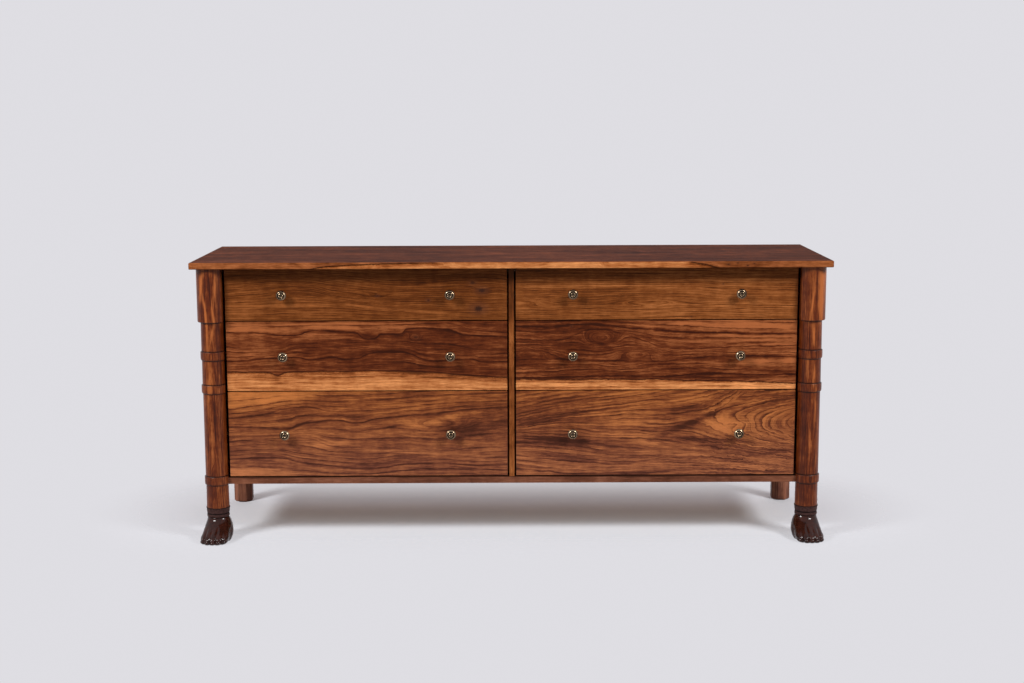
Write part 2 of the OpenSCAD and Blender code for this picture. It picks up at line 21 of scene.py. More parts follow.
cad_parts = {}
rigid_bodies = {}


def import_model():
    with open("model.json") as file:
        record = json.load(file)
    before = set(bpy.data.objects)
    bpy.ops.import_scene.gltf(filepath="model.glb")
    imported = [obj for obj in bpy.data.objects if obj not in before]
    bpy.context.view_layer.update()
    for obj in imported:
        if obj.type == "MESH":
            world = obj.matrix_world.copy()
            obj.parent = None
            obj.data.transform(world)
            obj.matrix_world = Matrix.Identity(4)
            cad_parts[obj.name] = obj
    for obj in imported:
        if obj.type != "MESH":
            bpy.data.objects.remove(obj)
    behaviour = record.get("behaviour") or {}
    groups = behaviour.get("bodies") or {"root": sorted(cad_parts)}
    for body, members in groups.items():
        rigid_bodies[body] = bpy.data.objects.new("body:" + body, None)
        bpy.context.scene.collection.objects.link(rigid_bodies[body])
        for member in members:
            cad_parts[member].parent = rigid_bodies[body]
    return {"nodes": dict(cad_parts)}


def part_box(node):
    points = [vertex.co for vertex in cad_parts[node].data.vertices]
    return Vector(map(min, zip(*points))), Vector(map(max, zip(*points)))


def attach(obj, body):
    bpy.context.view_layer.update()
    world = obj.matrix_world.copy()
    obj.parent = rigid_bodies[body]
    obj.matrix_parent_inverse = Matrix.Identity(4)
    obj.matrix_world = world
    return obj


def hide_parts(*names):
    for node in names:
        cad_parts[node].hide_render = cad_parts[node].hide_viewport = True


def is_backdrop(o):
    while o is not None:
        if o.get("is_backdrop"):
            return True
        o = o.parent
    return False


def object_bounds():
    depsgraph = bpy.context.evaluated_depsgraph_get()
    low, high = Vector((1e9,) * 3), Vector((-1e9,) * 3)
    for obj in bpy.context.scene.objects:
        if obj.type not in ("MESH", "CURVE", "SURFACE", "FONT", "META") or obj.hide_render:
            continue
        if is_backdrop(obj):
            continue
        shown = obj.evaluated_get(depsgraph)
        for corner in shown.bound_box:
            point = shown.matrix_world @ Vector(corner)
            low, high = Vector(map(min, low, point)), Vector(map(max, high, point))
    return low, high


for leftover in list(bpy.data.objects):
    bpy.data.objects.remove(leftover)
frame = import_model()

log = logging.getLogger("dresser")

MM = 0.001
PER_METRE = 1000.0
OVERHANG = 0.052
SAME_PLANE = 5e-5
SAME_POINT = 1e-5
ARRIS_STEPS = 3

Colour = tuple[float, float, float]
Pair = tuple[float, float]


# Shader recipes ------------------------------------------------------------


def maths_method(operation: str) -> Callable[..., "Signal"]:
    """Write a method of Signal.

    Args:
        operation: The operation of the Math node that the method adds.

    Returns:
        The method.
    """

    def method(self: "Signal", *others: "Number") -> "Signal":
        """Work out the operation on this number and the others."""
        return self.recipe.maths(operation, self, *others)

    return method


class Signal:
    """A number that changes over a surface: one socket, with arithmetic that adds Math nodes."""

    def __init__(self, recipe: "Recipe", socket: bpy.types.NodeSocket) -> None:
        """Wrap a socket.

        Args:
            recipe: The recipe that owns the socket's node.
            socket: An output socket that carries a number.
        """
        self.recipe = recipe
        self.socket = socket

    __add__ = __radd__ = maths_method("ADD")
    __sub__ = maths_method("SUBTRACT")
    __mul__ = maths_method("MULTIPLY")
    __truediv__ = maths_method("DIVIDE")
    __pow__ = maths_method("POWER")
    __abs__ = maths_method("ABSOLUTE")
    fraction = maths_method("FRACT")
    whole = maths_method("FLOOR")
    root = maths_method("SQRT")
    least = maths_method("MINIMUM")
    most = maths_method("MAXIMUM")

    def follow(self, line: Sequence[Pair], sharp: bool = False) -> "Signal":
        """Read a curve at this number.

        Args:
            line: Points of the curve: numbers going up, and the curve's value at each.
            sharp: Whether the curve has corners at its points; it is smooth without this.

        Returns:
            The curve's value.
        """
        start, end = line[0][0], line[-1][0]
        low, high = min(p[1] for p in line) - 1.0, max(p[1] for p in line) + 1.0
        places = [((x - start) / (end - start), (y - low) / (high - low)) for x, y in line]
        share = (self - start) / (end - start)
        curve = {"corners" if sharp else "curve": places}
        made = self.recipe.node("ShaderNodeFloatCurve", curve, {"Value": share})
        return Signal(self.recipe, made.outputs[0]) * (high - low) + low

    def between(self, low: "Number", high: "Number", total: float) -> "Signal":
        """How far this number has gone between two others.

        Args:
            low: Where the result is 0.
            high: Where it reaches the total.
            total: The result's greatest value.

        Returns:
            The result, from 0 to the total.
        """
        sockets = {"Value": self, "From Min": low, "From Max": high, "To Max": total}
        made = self.recipe.node("ShaderNodeMapRange", {"clamp": True}, sockets)
        return Signal(self.recipe, made.outputs["Result"])

    def rise(self, low: float, high: float) -> "Signal":
        """A smooth step.

        Args:
            low: Where the step leaves 0.
            high: Where it reaches 1; below low, the step falls instead.

        Returns:
            The step, from 0 to 1.
        """
        flip = float(high < low)
        sockets = {
            "Value": self, "From Min": min(low, high), "From Max": max(low, high),
            "To Min": flip, "To Max": 1.0 - flip,
        }
        kind = {"interpolation_type": "SMOOTHSTEP"}
        made = self.recipe.node("ShaderNodeMapRange", kind, sockets)
        return Signal(self.recipe, made.outputs["Result"])


Number = Union[Signal, float, int]
Socketed = Union[Signal, bpy.types.NodeSocket, float, int, Sequence[float]]


class Recipe:
    """The nodes of one material or of the world."""

    def __init__(self, tree: bpy.types.NodeTree) -> None:
        """Start from an empty tree.

        Args:
            tree: The node tree to fill.
        """
        self.tree = tree
        tree.nodes.clear()

    def node(
        self,
        kind: str,
        settings: Mapping[str, object] | None = None,
        sockets: Mapping[Union[str, int], Socketed] | None = None,
    ) -> bpy.types.Node:
        """Add one node.

        Args:
            kind: The node's type, such as ShaderNodeTexNoise.
            settings: Its settings, which are set first; "stops" are a ramp's places and colours,
                and "curve" or "corners" are a smooth or a sharp curve's points.
            sockets: What goes into its input sockets, by name or index: links or plain values.

        Returns:
            The new node.
        """
        made = self.tree.nodes.new(kind)
        for name, value in (settings or {}).items():
            if name == "stops":
                self._set_stops(made, value)
            elif name in ("curve", "corners"):
                self._set_curve(made, value, name == "corners")
            else:
                setattr(made, name, value)
        for name, value in (sockets or {}).items():
            if isinstance(value, Signal):
                value = value.socket
            if isinstance(value, bpy.types.NodeSocket):
                self.tree.links.new(value, made.inputs[name])
            else:
                made.inputs[name].default_value = value
        return made

    @staticmethod
    def _set_stops(ramp: bpy.types.Node, stops: Sequence[tuple[float, Colour]]) -> None:
        """Give a colour ramp its stops.

        Args:
            ramp: The ramp's node.
            stops: Places from 0 to 1, and their colours.
        """
        elements = ramp.color_ramp.elements
        while len(elements) < len(stops):
            elements.new(1.0)
        for element, (place, colour) in zip(elements, stops):
            element.position = place
            element.color = (*colour, 1.0)

    @staticmethod
    def _set_curve(made: bpy.types.Node, places: Sequence[Pair], sharp: bool) -> None:
        """Give a curve node its points.

        Args:
            made: The curve's node.
            places: The points, which lie from 0 to 1.
            sharp: Whether the curve has corners at them.
        """
        points = made.mapping.curves[0].points
        while len(points) < len(places):
            points.new(0.5, 0.5)
        for point, place in zip(points, places):
            point.location = place
            point.handle_type = "VECTOR" if sharp else "AUTO"
        made.mapping.update()

    def maths(self, operation: str, *values: Number) -> Signal:
        """Add one Math node.

        Args:
            operation: The Math node's operation.
            *values: Its inputs.

        Returns:
            The result.
        """
        made = self.node("ShaderNodeMath", {"operation": operation}, dict(enumerate(values)))
        return Signal(self, made.outputs[0])

    def bell(self, *offs: Signal) -> Signal:
        """A smooth hump round a middle.

        Args:
            *offs: How many of its widths the place is off the middle, in one or two directions.

        Returns:
            The hump, 1 in its middle and nearly 0 two widths off.
        """
        squares = [off * off for off in offs]
        far = squares[0] + squares[1] if len(squares) == 2 else squares[0]
        return self.maths("EXPONENT", far * -1.0)

    def split(self, vector: bpy.types.NodeSocket) -> tuple[Signal, Signal, Signal]:
        """The three numbers of a vector."""
        parts = self.node("ShaderNodeSeparateXYZ", None, {0: vector}).outputs
        return tuple(Signal(self, part) for part in parts)

    def place(self) -> tuple[Signal, Signal, Signal]:
        """The point on the surface, in the row frame at rest, in metres."""
        return self.split(self.node("ShaderNodeTexCoord").outputs["Object"])

    def place_mm(self) -> list[Signal]:
        """The point on the surface, in the row frame at rest, in millimetres."""
        return [axis * PER_METRE for axis in self.place()]

    def seen(self) -> Signal:
        """What the camera sees, straight or in gloss or through glass.

        Returns:
            1 for what it sees, and 0 for light.
        """
        path = self.node("ShaderNodeLightPath").outputs
        kinds = ("Camera", "Glossy", "Transmission")
        rays = [Signal(self, path[f"Is {kind} Ray"]) for kind in kinds]
        return rays[0].most(rays[1]).most(rays[2])

    def noise(
        self, x: Number, y: Number, z: Number, detail: float = 2.0, rough: float = 0.5
    ) -> Signal:
        """Smooth noise.

        Args:
            x: Where to read it; one unit is about one grain of the noise.
            y: The second part of that place.
            z: The third part of that place.
            detail: How many finer layers it has.
            rough: How strong each finer layer is.

        Returns:
            The noise, about 0 and from about -0.5 to 0.5.
        """
        at = self.node("ShaderNodeCombineXYZ", None, {0: x, 1: y, 2: z}).outputs[0]
        sockets = {"Vector": at, "Scale": 1.0, "Detail": detail, "Roughness": rough}
        made = self.node("ShaderNodeTexNoise", {"noise_dimensions": "3D"}, sockets)
        return Signal(self, made.outputs[0]) - 0.5

    def ramp(self, along: Signal, *stops: tuple[float, Colour]) -> bpy.types.NodeSocket:
        """Colours that change with a number.

        Args:
            along: The number, from 0 to 1.
            *stops: Places on it and their colours.

        Returns:
            The colour.
        """
        return self.node("ShaderNodeValToRGB", {"stops": stops}, {0: along}).outputs["Color"]

    def mix(self, share: Number, first: Socketed, second: Socketed) -> bpy.types.NodeSocket:
        """Mix two colours.

        Args:
            share: How much of the second, from 0 to 1.
            first: A colour or a link to one.
            second: A colour or a link to one.

        Returns:
            The mixed colour.
        """
        colours = [(*c, 1.0) if isinstance(c, tuple) else c for c in (first, second)]
        sockets = {0: share, 6: colours[0], 7: colours[1]}
        return self.node("ShaderNodeMix", {"data_type": "RGBA"}, sockets).outputs[2]

    def surface(
        self, colour: Socketed, roughness: Socketed, height: Signal, depth: float, **fixed: float
    ) -> None:
        """End a material in its shader, with a bumpy normal.

        Args:
            colour: The base colour.
            roughness: The roughness.
            height: The relief, from 0 to 1.
            depth: The relief's depth in metres.
            **fixed: Values that are the same all over the surface: shine or metallic.
        """
        relief = {"Strength": 1.0, "Distance": depth, "Height": height}
        normal = self.node("ShaderNodeBump", None, relief).outputs["Normal"]
        names = {"shine": "Specular IOR Level", "metallic": "Metallic"}
        sockets = {"Base Color": colour, "Roughness": roughness, "Normal": normal}
        sockets.update({names[name]: value for name, value in fixed.items()})
        shader = self.node("ShaderNodeBsdfPrincipled", None, sockets)
        self.node("ShaderNodeOutputMaterial", None, {"Surface": shader.outputs[0]})


class Finish:
    """A way to finish a piece: each kind of finish paints its own nodes."""

    def paint(self, recipe: Recipe) -> None:
        """Fill in the material's nodes."""
        raise NotImplementedError

    def material(self, name: str) -> bpy.types.Material:
        """Make the material.

        Args:
            name: Its name.

        Returns:
            The material.
        """
        made = bpy.data.materials.new(name)
        made.use_nodes = True
        self.paint(Recipe(made.node_tree))
        return made

    def dress(self, piece: bpy.types.Object, name: str) -> None:
        """Give a piece this finish all over.

        Args:
            piece: The piece.
            name: The material's name.
        """
        piece.data.materials.clear()
        piece.data.materials.append(self.material(name))
        piece.data.update()

    def dress_node(self, node: str, kind: str) -> bpy.types.Object:
        """Give a node of the frame this finish.

        Args:
            node: The node's name, which also starts the material's name.
            kind: The last word of the material's name.

        Returns:
            The node's piece.
        """
        piece = frame["nodes"][node]
        self.dress(piece, f"{node}_{kind}")
        return piece


# Wood ----------------------------------------------------------------------


class Grain(Enum):
    """Which way the grain of a board runs, as the axes along it, across it and through it."""

    ALONG = (0, 2, 1)
    TOP = (0, 1, 2)
    UPRIGHT = (2, 0, 1)
    SIDE = (2, 1, 0)
    BACKWARD = (1, 2, 0)


@dataclass(frozen=True)
class Tones:
    """The dark, middle and light colours of one piece of wood."""

    dark: Colour
    mid: Colour
    light: Colour


@dataclass(frozen=True)
class Layer:
    """One noise in wood: its grains' size along and across in millimetres, and its make.

    Seeded is the axis that the board's own number moves; weight is for those that are summed up.
    """

    along: float
    across: float
    detail: float
    rough: float
    seeded: int
    weight: float = 1.0

    def read(self, place: Sequence[Signal], seed: float) -> Signal:
        """The noise at a place on the board.

        Args:
            place: The place along, across and through the board.
            seed: The board's own number.

        Returns:
            The noise.
        """
        at = [axis / size for axis, size in zip(place, (self.along, self.across, self.across))]
        at[self.seeded] = at[self.seeded] + seed
        return at[0].recipe.noise(*at, self.detail, self.rough)


@dataclass(frozen=True)
class Patch:
    """A soft oval on a board: its middle, its reach along and across, and its strength.

    Its middle line climbs by slope along the board.
    """

    x: float
    y: float
    long: float
    wide: float
    strength: float
    slope: float = 0.0

    def at(self, along: Signal, across: Signal) -> Signal:
        """The patch's strength at a place, which fades from its middle.

        Args:
            along: Place along the board.
            across: Place across the board.

        Returns:
            The strength there.
        """
        beside, above = along - self.x, across - self.y
        if self.slope:
            above = above - beside * self.slope
        return along.recipe.bell(beside / self.long, above / self.wide) * self.strength


class Hill(Patch):
    """A rise in the growth rings, which the saw cuts into ovals; its strength is in rings."""


class Streak(Patch):
    """A long soft patch, darker below 0 and paler above 0."""


@dataclass(frozen=True)
class Guide:
    """A line that the grain follows: its points along and across the board.

    rings is how many growth rings there are from it up to the next guide; ink is how much darker
    the guide itself is drawn, over the given width.
    """

    line: tuple[Pair, ...]
    rings: float
    ink: float = 0.0
    width: float = 2.2


@dataclass(frozen=True)
class Sapwood:
    """Pale sapwood below a ragged line across the board.

    With a brow, the line instead runs through the board's front edge, which turns over into the
    board's upper face at that height.
    """

    line: tuple[Pair, ...]
    ragged: float = 4.0
    depth: float = 30.0
    brow: float = 0.0


@dataclass(frozen=True)
class Knot:
    """A small pin knot: where it is, its radius and how dark it is.

    On the board's front edge its second place is through the board.
    """

    x: float
    y: float
    radius: float
    dark: float = 0.8
    edge: bool = False


@dataclass(frozen=True)
class Figure:
    """How one board was cut from its log.

    Millimetres: pith is the middle of the log across and below the board's zero, drift and taper
    are how it moves over a metre, rings is how many growth rings there are in a metre, and sway
    is how far broad and small waves push them. Where there are guides, the rings follow those.
    Curl is how far tight waves push them, and how far along the board these begin.
    The lower tones, if there are some, are those at the board's lower edge, up to the height.
    Painted shade lines along the piece darken the crevices at the edges of turned rings; each is
    given by its place and how dark it is.
    """

    tones: Tones
    lower: Tones | None = None
    height: float = 250.0
    pith: Pair = (60.0, 60.0)
    drift: float = 0.0
    taper: float = 0.0
    rings: float = 110.0
    sway: Pair = (14.0, 2.2)
    lines: float = 0.5
    bands: float = 0.7
    seed: float = 0.0
    guides: tuple[Guide, ...] = ()
    hills: tuple[Hill, ...] = ()
    streaks: tuple[Streak, ...] = ()
    sapwood: tuple[Sapwood, ...] = ()
    knots: tuple[Knot, ...] = ()
    seams: tuple[Pair, ...] = ()
    curl: Pair = (0.0, 0.0)


SAPWOOD = Tones((0.225, 0.060, 0.014), (0.405, 0.134, 0.039), (0.530, 0.208, 0.070))
SAP_BORDER = 2.0
SAP_BORDER_SHADE = 0.4
BROW_TURNS_OVER = 1.4
FRONT_FACE = (3.0, 1.2)
TONE_PLACES = (0.0, 0.27, 0.5, 0.72, 1.0)
LINE_SHADE = 0.42
PALE_GAIN = 1.45
GUIDE_SLANT = 0.12
HILL_PUSH = 0.9
CURL_GROWS_OVER = 120.0
# Painted shade in the crevices at the columns' turned rings: its near-black colour, and the width
# of its lines in millimetres.
RING_SHADE_COLOUR = (0.018, 0.006, 0.004)
RING_SHADE_WIDTH = 2.0
PORE = (0.05, 0.014, 0.006)
PORE_FROM = (0.12, 0.2)
PORE_SHARE = 0.3
KNOT_LENGTH = 1.5
KNOT_RING = (0.09, 0.028, 0.012)
KNOT_HEART = (0.025, 0.009, 0.005)

BROAD_WAVES = Layer(210.0, 95.0, 2.0, 0.45, 0)
SMALL_WAVES = Layer(42.0, 17.0, 2.0, 0.5, 1)
FIBRES = Layer(9.0, 0.55, 2.0, 0.6, 2)
PORES = Layer(4.5, 0.42, 1.0, 0.5, 1)
FINE_GRAIN = (
    Layer(26.0, 34.0, 2.0, 0.5, 0, 0.4), Layer(38.0, 1.5, 3.0, 0.7, 2, 0.95),
    Layer(16.0, 0.9, 2.0, 0.6, 1, 0.55), Layer(120.0, 4.5, 3.0, 0.65, 0, 0.6),
)


@dataclass(frozen=True)
class Walnut(Finish):
    """Oiled walnut, with the figure of one board."""

    figure: Figure
    grain: Grain = Grain.ALONG
    start: tuple[float, float, float] = (0.0, 0.0, 0.0)
    roughness: float = 0.46
    shine: float = 0.08
    relief: float = 0.12 * MM

    def paint(self, recipe: Recipe) -> None:
        """Lay the rings, then the streaks, sapwood, knots, painted shade lines at turned rings,
        and pores.

        Args:
            recipe: The material's recipe.
        """
        place = [(axis - zero) * PER_METRE for axis, zero in zip(recipe.place(), self.start)]
        place = [place[k] for k in self.grain.value]
        along, across, through = place
        figure = self.figure
        swept = across + self._sway(place)
        rings, ink = self._rings(along, across, swept, through)
        tone = self._tone(place, rings)
        if isinstance(ink, Signal):
            tone = tone - ink * (recipe.noise(along / 34.0, figure.seed, 0.0) * 2.2 + 0.85)
        for streak in figure.streaks:
            tone = tone + streak.at(along, swept)
        colour = self._toned(tone, figure.tones)
        if figure.lower is not None:
            lower = self._toned(tone, figure.lower)
            colour = recipe.mix(across.rise(figure.height, 0.0), colour, lower)
        for edge in figure.sapwood:
            level, limit = swept, 1.0
            if edge.brow:
                level, upper = through, (edge.brow + BROW_TURNS_OVER, edge.brow)
                limit = across.rise(*FRONT_FACE) * through.rise(*upper)
            colour = self._sap(colour, tone, along, level, edge, limit)
        for knot in figure.knots:
            colour = self._knot(colour, along, through if knot.edge else across, knot)
        # Painted shade: a dark line at each place where shade falls in a turned ring's crevice.
        for at, dark in figure.seams:
            colour = recipe.mix(recipe.bell((along - at) / RING_SHADE_WIDTH) * dark, colour, RING_SHADE_COLOUR)
        fibre = FIBRES.read(place, figure.seed)
        pits = PORES.read(place, figure.seed).rise(*PORE_FROM)
        colour = recipe.mix(pits * PORE_SHARE, colour, PORE)
        roughness = self.roughness + fibre * 0.16 + pits * 0.12
        height = 0.6 + fibre * 0.5 - pits * 0.6
        recipe.surface(colour, roughness, height, self.relief, shine=self.shine)

    def _sway(self, place: Sequence[Signal]) -> Signal:
        """How far the rings are pushed across the board.

        Args:
            place: The place along, across and through the board.

        Returns:
            The push in millimetres.
        """
        figure = self.figure
        push = BROAD_WAVES.read(place, figure.seed) * (2.0 * figure.sway[0])
        push = push + SMALL_WAVES.read(place, figure.seed) * (2.0 * figure.sway[1])
        reach, start = figure.curl
        if reach:
            along, across, _ = place
            tight = along.recipe.noise(along / 17.0, across / 13.0, figure.seed, 2.0, 0.55)
            push = push + tight * along.rise(start, start + CURL_GROWS_OVER) * (2.0 * reach)
        return push

    def _rings(
        self, along: Signal, across: Signal, swept: Signal, through: Signal
    ) -> tuple[Signal, Number]:
        """Which growth ring a place is in, and how inked the guides are there.

        Args:
            along: Place along the board.
            across: Place across the board.
            swept: Place across the board, as the waves push it.
            through: Place through the board.

        Returns:
            The ring, and the ink, which is 0 where no guide has some.
        """
        figure = self.figure
        if figure.guides:
            count, ink = self._guided(along, swept - through * GUIDE_SLANT)
        else:
            from_pith = swept - figure.pith[0] - along * (figure.drift * MM)
            below = through + along * (figure.taper * MM) + figure.pith[1]
            radius = (from_pith * from_pith + below * below).root()
            count, ink = radius * (figure.rings * MM), 0
        pushed = along + (swept - across) * HILL_PUSH
        for hill in figure.hills:
            count = count + hill.at(pushed, swept)
        return count, ink

    def _guided(self, along: Signal, across: Signal) -> tuple[Signal, Number]:
        """The ring at a place between the guides, and the guides' ink.

        Args:
            along: Place along the board.
            across: Place across the board.

        Returns:
            The ring, and the ink, which is 0 where no guide has some.
        """
        guides = self.figure.guides
        levels = [along.follow(guide.line) for guide in guides]
        steps = zip(guides, levels, levels[1:])
        count = sum(across.between(low, high, guide.rings) for guide, low, high in steps)
        drawn = [(guide, across - level) for guide, level in zip(guides, levels) if guide.ink]
        return count, sum(along.recipe.bell(off / guide.width) * guide.ink for guide, off in drawn)

    def _tone(self, place: Sequence[Signal], rings: Signal) -> Signal:
        """How pale the heartwood is.

        Args:
            place: The place along, across and through the board.
            rings: The growth ring there.

        Returns:
            The tone, from 0 at the dark lines to 1.
        """
        figure = self.figure
        along, across, _ = place
        recipe, seed = along.recipe, figure.seed
        each = recipe.noise(rings.whole() * 3.7, along / 110.0, seed) * 3.0 + 0.5
        line = (rings.fraction() ** 4.0) * each.most(0.0)
        bands = recipe.noise(rings * 0.8, along / 380.0 + seed, seed, 3.0, 0.65)
        drift = recipe.noise(along / 240.0, across / 80.0, seed + 4.0)
        flow = recipe.noise(rings * 3.1, along / 90.0, seed, 4.0, 0.72)
        tone = 0.53 + bands * figure.bands + drift * 0.6 + flow
        for layer in FINE_GRAIN:
            tone = tone + layer.read(place, seed) * layer.weight
        return tone - line * figure.lines

    @staticmethod
    def _toned(tone: Signal, tones: Tones) -> bpy.types.NodeSocket:
        """The colour of wood at a tone.

        Args:
            tone: The tone, from 0 to 1.
            tones: The wood's colours; it gets a little darker and paler than these.

        Returns:
            The colour.
        """
        line = tuple(LINE_SHADE * c for c in tones.dark)
        pale = tuple(PALE_GAIN * c for c in tones.light)
        colours = (line, tones.dark, tones.mid, tones.light, pale)
        return tone.recipe.ramp(tone, *zip(TONE_PLACES, colours))

    def _sap(
        self,
        colour: bpy.types.NodeSocket,
        tone: Signal,
        along: Signal,
        level: Signal,
        edge: Sapwood,
        limit: Number,
    ) -> bpy.types.NodeSocket:
        """Lay pale sapwood over the heartwood, with its dark ragged border.

        Args:
            colour: The heartwood's colour.
            tone: The heartwood's tone.
            along: Place along the board.
            level: The place that the sapwood's line is compared with.
            edge: The sapwood.
            limit: How much of it may show, from 0 to 1.

        Returns:
            The colour with the sapwood.
        """
        recipe, seed = tone.recipe, self.figure.seed
        dark = self.figure.tones.dark
        rag = recipe.noise(along / 30.0, seed, 0.0, 3.0, 0.6) * edge.ragged
        inside = along.follow(edge.line, True) - level + rag
        fleck = recipe.noise(along / 7.0 + seed, level / 1.7, 7.0)
        pale_tone = inside.between(0, edge.depth, 0.34) + tone * 1.05 - 0.26
        near = inside.rise(edge.depth * 0.7, 2.0) * fleck.rise(0.06, 0.16)
        pale = recipe.mix(near * 0.8, self._toned(pale_tone, SAPWOOD), dark)
        mixed = recipe.mix(inside.rise(-0.6, 1.4) * limit, colour, pale)
        border = recipe.bell(inside / SAP_BORDER) * (fleck * 1.6 + 0.95)
        line = tuple(SAP_BORDER_SHADE * c for c in dark)
        return recipe.mix(border.most(0.0).least(0.95) * limit, mixed, line)

    @staticmethod
    def _knot(
        colour: bpy.types.NodeSocket, along: Signal, across: Signal, knot: Knot
    ) -> bpy.types.NodeSocket:
        """Lay a small dark knot over the wood.

        Args:
            colour: The wood's colour.
            along: Place along the board.
            across: Place across the board, or through it.
            knot: The knot.

        Returns:
            The colour with the knot.
        """
        recipe = along.recipe
        u = (along - knot.x) / (KNOT_LENGTH * knot.radius)
        v = (across - knot.y) / knot.radius
        grit = recipe.noise(along / 3.0, across / 2.0, knot.radius)
        off = (u * u + v * v).root() + grit * 1.1
        colour = recipe.mix(off.rise(2.6, 0.9) * (0.5 * knot.dark), colour, KNOT_RING)
        return recipe.mix(off.rise(1.0, 0.3) * knot.dark, colour, KNOT_HEART)


@dataclass(frozen=True)
class PaleWood(Finish):
    """The plain pale wood inside the case and the drawers."""

    tones: Tones = Tones((0.36, 0.22, 0.115), (0.52, 0.35, 0.2), (0.62, 0.45, 0.28))
    grain: Grain = Grain.ALONG
    seed: float = 0.0
    roughness: float = 0.62
    shine: float = 0.3
    relief: float = 0.1 * MM
    waves: Layer = Layer(260.0, 90.0, 3.0, 0.5, 0)
    fine: Layer = Layer(50.0, 1.3, 3.0, 0.6, 2)
    broad: Layer = Layer(300.0, 60.0, 1.0, 0.5, 2)

    def paint(self, recipe: Recipe) -> None:
        """Lay uneven rings and fine grain.

        Args:
            recipe: The material's recipe.
        """
        axes = recipe.place_mm()
        place = [axes[k] for k in self.grain.value]
        along, across, through = place
        pushed = across + through * 0.6 + self.waves.read(place, self.seed) * 60.0
        rings = pushed / 16.0 + recipe.noise(pushed / 30.0, self.seed, 0.0) * 2.4
        fine = self.fine.read(place, self.seed)
        worn = recipe.noise(rings.whole() * 3.7, along / 160.0, self.seed) * 2.4 + 0.7
        tone = 0.6 + fine * 0.6 + self.broad.read(place, self.seed) * 0.6
        tone = tone - (rings.fraction() ** 3.0) * worn.most(0.0) * 0.3
        tones = self.tones
        colour = recipe.ramp(tone, (0.0, tones.dark), (0.5, tones.mid), (1.0, tones.light))
        roughness, height = self.roughness + fine * 0.15, 0.5 + fine * 0.5
        recipe.surface(colour, roughness, height, self.relief, shine=self.shine)


# Other finishes ------------------------------------------------------------


@dataclass(frozen=True)
class CarvedGloss(Finish):
    """Very dark stained wood under a deep varnish, clouded a little warmer, and rougher where it
    is worn.
    """

    dark: Colour = (0.0065, 0.0018, 0.0013)
    warm: Colour = (0.051, 0.0105, 0.0048)
    roughness: float = 0.12
    shine: float = 0.28
    relief: float = 0.25 * MM

    def paint(self, recipe: Recipe) -> None:
        """Lay the stain's grain and clouds, and the wear.

        Args:
            recipe: The material's recipe.
        """
        x, y, z = recipe.place_mm()
        grain = recipe.noise(x / 2.2, y / 2.2, z / 26.0, 3.0, 0.6)
        cloud = recipe.noise(x / 17.0, y / 17.0, z / 30.0)
        wear = recipe.noise(x / 6.0, y / 6.0, z / 6.0, 3.0, 0.6)
        tone = 0.45 + grain * 1.1 + cloud * 0.9
        colour = recipe.ramp(tone, (0.1, self.dark), (0.95, self.warm))
        roughness = self.roughness + wear.most(0.0) * 0.25
        height = 0.5 + grain * 0.3 + wear * 0.4
        recipe.surface(colour, roughness, height, self.relief, shine=self.shine)


@dataclass(frozen=True)
class AnkleBand(Finish):
    """The dark grey-brown band round an ankle, waxed and nearly dull, with lines of painted shade
    at given heights.
    """

    # Heights in metres of the painted shade lines; depth is their near-black colour.
    grooves: tuple[float, ...]
    dark: Colour = (0.018, 0.0075, 0.0065)
    pale: Colour = (0.088, 0.043, 0.038)
    depth: Colour = (0.003, 0.0012, 0.001)
    groove_width: float = 2.0
    roughness: float = 0.5
    shine: float = 0.06
    relief: float = 0.15 * MM

    def paint(self, recipe: Recipe) -> None:
        """Lay the grain, the rubbed places and the lines of painted shade.

        Args:
            recipe: The material's recipe.
        """
        x, y, z = recipe.place_mm()
        grain = recipe.noise(x / 1.8, y / 1.8, z / 14.0, 3.0, 0.6)
        rub = recipe.noise(x / 9.0, y / 9.0, z / 4.0, 2.0, 0.6)
        colour = recipe.ramp(0.42 + grain * 0.7 + rub * 0.8, (0.1, self.dark), (0.9, self.pale))
        # Painted shade: a near-black line at each height, where shade falls in the groove and at
        # the band's edges.
        for height in self.grooves:
            off = (z - height * PER_METRE) / self.groove_width
            colour = recipe.mix(recipe.bell(off) * 0.97, colour, self.depth)
        roughness, height = self.roughness + grain * 0.2, 0.5 + grain * 0.5
        recipe.surface(colour, roughness, height, self.relief, shine=self.shine)


